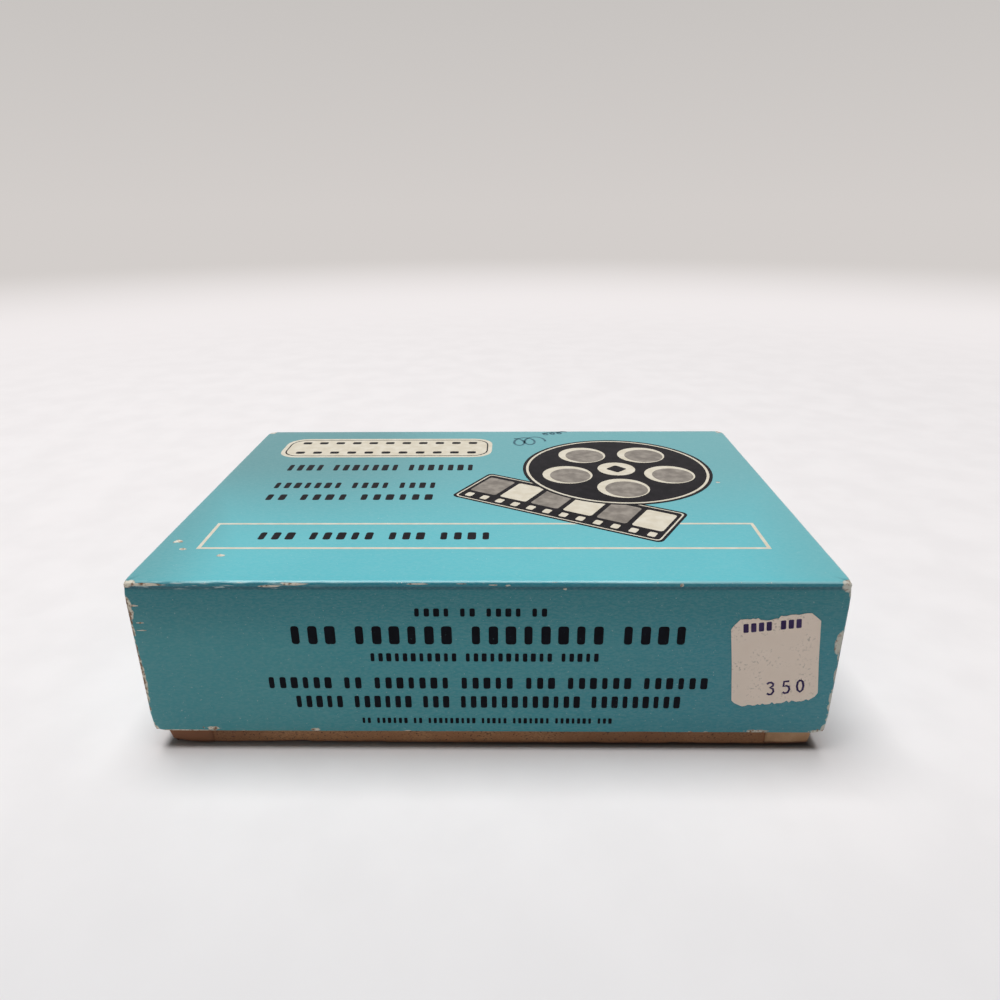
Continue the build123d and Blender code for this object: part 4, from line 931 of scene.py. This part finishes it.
printed(creams, lozenge(41, 16.9, 63, 17.6, 5.5), on_top, 2)
printed(blacks, lozenge(41, 16.9, 60.6, 15.2, 4.6), on_top, 3)
printed(creams, lozenge(41, 16.9, 59.8, 14.4, 4.3), on_top, 4)
for i in range(11):
    printed(blacks, lozenge(15.5 + 5.1 * i, 12.4, 2.6, 2.0, 0.5, 0, 2), on_top, 5)
    printed(blacks, lozenge(15.5 + 5.1 * i, 21.4, 2.6, 2.0, 0.5, 0, 2), on_top, 5)

marks(blacks, 15.2, 67.8, 32.2, 36.9, (4, 7, 7), on_top)
marks(blacks, 15.4, 58.5, 46.3, 50.3, (7, 4, 4), on_top)
marks(blacks, 15.5, 58.5, 54.7, 58.5, (2, 4, 6), on_top)
marks(blacks, 20.8, 73.7, 78.0, 81.8, (3, 5, 3, 4), on_top)

for outline in (
    [(9.4, 72.8), (134.5, 72.8), (134.5, 73.6), (9.4, 73.6)], [(9.4, 85.8), (134.5, 85.8), (134.5, 86.6), (9.4, 86.6)],
    [(9.4, 73.6), (10.2, 73.6), (10.2, 85.8), (9.4, 85.8)], [(133.7, 73.6), (134.5, 73.6), (134.5, 85.8), (133.7, 85.8)],
):
    printed(creams, outline, on_top, 2)

strip_tilt = 30.0
strip_along = (math.cos(math.radians(strip_tilt)), math.sin(math.radians(strip_tilt)))


def on_strip(along, across):
    return (91.9 + along * strip_along[0] - across * strip_along[1],
            61.5 + along * strip_along[1] + across * strip_along[0])


printed(blacks, lozenge(91.9, 61.5, 56, 19.0, 1.6, strip_tilt), on_top, 3)
printed(creams, lozenge(91.9, 61.5, 54.6, 17.6, 1.2, strip_tilt), on_top, 4)
printed(blacks, lozenge(91.9, 61.5, 53.8, 16.8, 1.0, strip_tilt), on_top, 5)
for i in range(6):
    u, v = on_strip(-22.2 + 8.9 * i, -1.6)
    printed(creams if i % 2 else greys, lozenge(u, v, 7.6, 10.6, 0.8, strip_tilt), on_top, 6)
for i in range(12):
    u, v = on_strip(-24.4 + 4.45 * i, 6.2)
    printed(creams, lozenge(u, v, 1.9, 2.4, 0.4, strip_tilt, 2), on_top, 6)

reel_u, reel_v, reel_r = 107.5, 36.0, 26.0
printed(blacks, lozenge(reel_u, reel_v, 2 * reel_r, 2 * reel_r, reel_r, 0, 18), on_top, 7)
printed(creams, lozenge(reel_u, reel_v, 50.2, 50.2, 25.1, 0, 18), on_top, 8)
printed(blacks, lozenge(reel_u, reel_v, 48.8, 48.8, 24.4, 0, 18), on_top, 9)
for i in range(5):
    angle = math.radians(72 * i - 54)
    u = reel_u + 14.6 * math.cos(angle)
    v = reel_v + 14.6 * math.sin(angle)
    printed(creams, lozenge(u, v, 13.6, 13.6, 6.8, 0, 10), on_top, 10)
    printed(greys, lozenge(u + 0.7, v + 0.7, 11.0, 11.0, 5.5, 0, 10), on_top, 11)
printed(creams, lozenge(reel_u, reel_v, 10.4, 10.4, 5.2, 0, 9), on_top, 10)
printed(blacks, lozenge(reel_u, reel_v, 4.2, 4.2, 0.6, 45, 3), on_top, 11)

pencils = bmesh.new()
for start, reach, middle, wide, tall, turns in ((79.1, 7.5, 11.6, 2.3, 3.6, 2.3), (88.1, 7.0, 3.5, 1.1, 1.0, 3.2)):
    loops = [(start + reach * t / 60 + wide * math.sin(turns * math.tau * t / 60),
              middle - 0.03 * t - tall * math.cos(turns * math.tau * t / 60)) for t in range(61)]
    stroked(pencils, loops, 0.7, on_top, 3)
pencil_ink = ink_finish("pen_mark", tint(62, 96, 108), tint(92, 130, 140), 0.5)

for name, ink, material in (
    ("top_print_black", blacks, black_ink), ("top_print_cream", creams, cream_ink),
    ("top_print_grey", greys, grey_ink), ("pen_squiggle", pencils, pencil_ink),
):
    print_piece = piece(name, ink, material, smooth=False)
    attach(print_piece, "carton_lid")

# The print on the lid's front: six rows of plain marks in one dark ink.
front_ink = ink_finish("dark_ink", tint(6, 8, 16), tint(14, 18, 28), 0.4)
fronts = bmesh.new()
marks(fronts, 58.3, 85.7, 6.1, 8.0, (4, 2, 4, 2), on_front)
marks(fronts, 32.4, 114.3, 10.3, 14.6, (3, 6, 8, 4), on_front)
marks(fronts, 48.7, 96.5, 16.8, 18.8, (11, 11, 5), on_front)
marks(fronts, 26.6, 119.6, 22.8, 25.6, (6, 2, 7, 5, 3, 6, 6), on_front)
marks(fronts, 32, 114.2, 27.5, 30.5, (5, 6, 3, 12, 9), on_front)
marks(fronts, 45.9, 99.9, 33.2, 34.6, (2, 6, 2, 9, 5, 7, 7, 3), on_front)
front_print = piece("front_print", fronts, front_ink, smooth=False)
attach(front_print, "carton_lid")

# The price sticker: a small paper label, die-cut with clipped corners, stuck on a little askew.
# Its upper and lower edges are ragged where it was torn off the roll.
label_wide = 18.0
label_tall = 21.6
label_turn = -6.4
label_centre = (132.8, 18.5)


def on_label(x, y):
    """Millimetres right of and above the label's middle, turned with it."""
    tilt = math.radians(label_turn)
    return (label_centre[0] + x * math.cos(tilt) + y * math.sin(tilt),
            label_centre[1] + x * math.sin(tilt) - y * math.cos(tilt))


label_edge = []
half_w, half_h, clip = label_wide / 2, label_tall / 2, 1.9
for i in range(29):
    x = -half_w + clip + (label_wide - 2 * clip) * i / 28
    label_edge.append((x, half_h - 0.5 * abs(noise.noise(Vector((x * 2.3, 3, 0)))) - (0.55 if 7 < i < 16 else 0)))
label_edge += [(half_w - 0.5, half_h - clip + 0.4), (half_w, half_h - clip - 0.2), (half_w - 0.1, 0),
               (half_w, -half_h + clip), (half_w - 0.6, -half_h + clip - 0.9)]
for i in range(29):
    x = half_w - clip - (label_wide - 2 * clip) * i / 28
    label_edge.append((x, -half_h + 0.9 * abs(noise.noise(Vector((x * 1.3, 8, 0)))) + 0.3 * abs(noise.noise(Vector((x * 5, 2, 0))))))
label_edge += [(-half_w + 0.5, -half_h + clip - 0.7), (-half_w, -half_h + clip), (-half_w + 0.1, 0),
               (-half_w, half_h - clip - 0.3), (-half_w + 0.5, half_h - clip + 0.5)]
label_finish = Finish("label_paper")
label_cloud = label_finish.grain(4 * mm, 5)
label_grime = label_finish.band(label_finish.grain(0.6 * mm, 6, None, 4.0), 0.52, 0.7)
label_colour = label_finish.blend(label_cloud, tint(240, 222, 206), tint(250, 234, 220))
label_finish.emboss(label_finish.grain(0.3 * mm, 3), 0.02 * mm, 0.5)
label_finish.set(colour=label_finish.blend(label_finish.work("MULTIPLY", label_grime, label_finish.band(label_cloud, 0.42, 0.62)), label_colour,
                                           tint(196, 182, 168)), rough=0.75)
label_mesh = bmesh.new()
printed(label_mesh, [on_label(x, y) for x, y in label_edge], on_front, 9)
label = piece("paper_label", label_mesh, label_finish.material, smooth=False)
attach(label, "carton_lid")
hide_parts("price_sticker")

# The label's print: a row of plain marks above, and a plain number stamped in violet below.
label_inks = bmesh.new()
for word, (start, count) in enumerate(((-6.6, 4), (0.9, 3))):
    for i in range(count):
        middle = on_label(start + 1.55 * i + 0.6, 8.6)
        printed(label_inks, lozenge(*middle, 1.05, 2.1, 0.2, label_turn, 2), on_front, 11)
digits = {
    "3": [(0, 1.2), (0.35, 1.5), (0.8, 1.5), (1.15, 1.15), (1.1, 0.7), (0.55, 0.35), (1.1, 0.05), (1.2, -0.6),
          (0.85, -1.15), (0.4, -1.2), (0, -0.9)],
    "5": [(1.15, 1.45), (0.2, 1.45), (0.1, 0.35), (0.6, 0.5), (1.1, 0.2), (1.2, -0.45), (0.9, -1.1), (0.35, -1.2),
          (0, -0.9)],
    "0": [(0.6, 1.5), (0.15, 1.05), (0, 0.15), (0.15, -0.75), (0.6, -1.2), (1.05, -0.75), (1.2, 0.15), (1.05, 1.05),
          (0.6, 1.5)],
}
for digit, start in (("3", -1.6), ("5", 1.7), ("0", 4.6)):
    stroked(label_inks, [on_label(start + 1.12 * x, -6.9 + 1.12 * y) for x, y in digits[digit]], 0.46, on_front, 11)
label_ink = ink_finish("violet_ink", tint(58, 44, 84), tint(76, 62, 104), 0.6)
label_print = piece("label_print", label_inks, label_ink, smooth=False)
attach(label_print, "carton_lid")
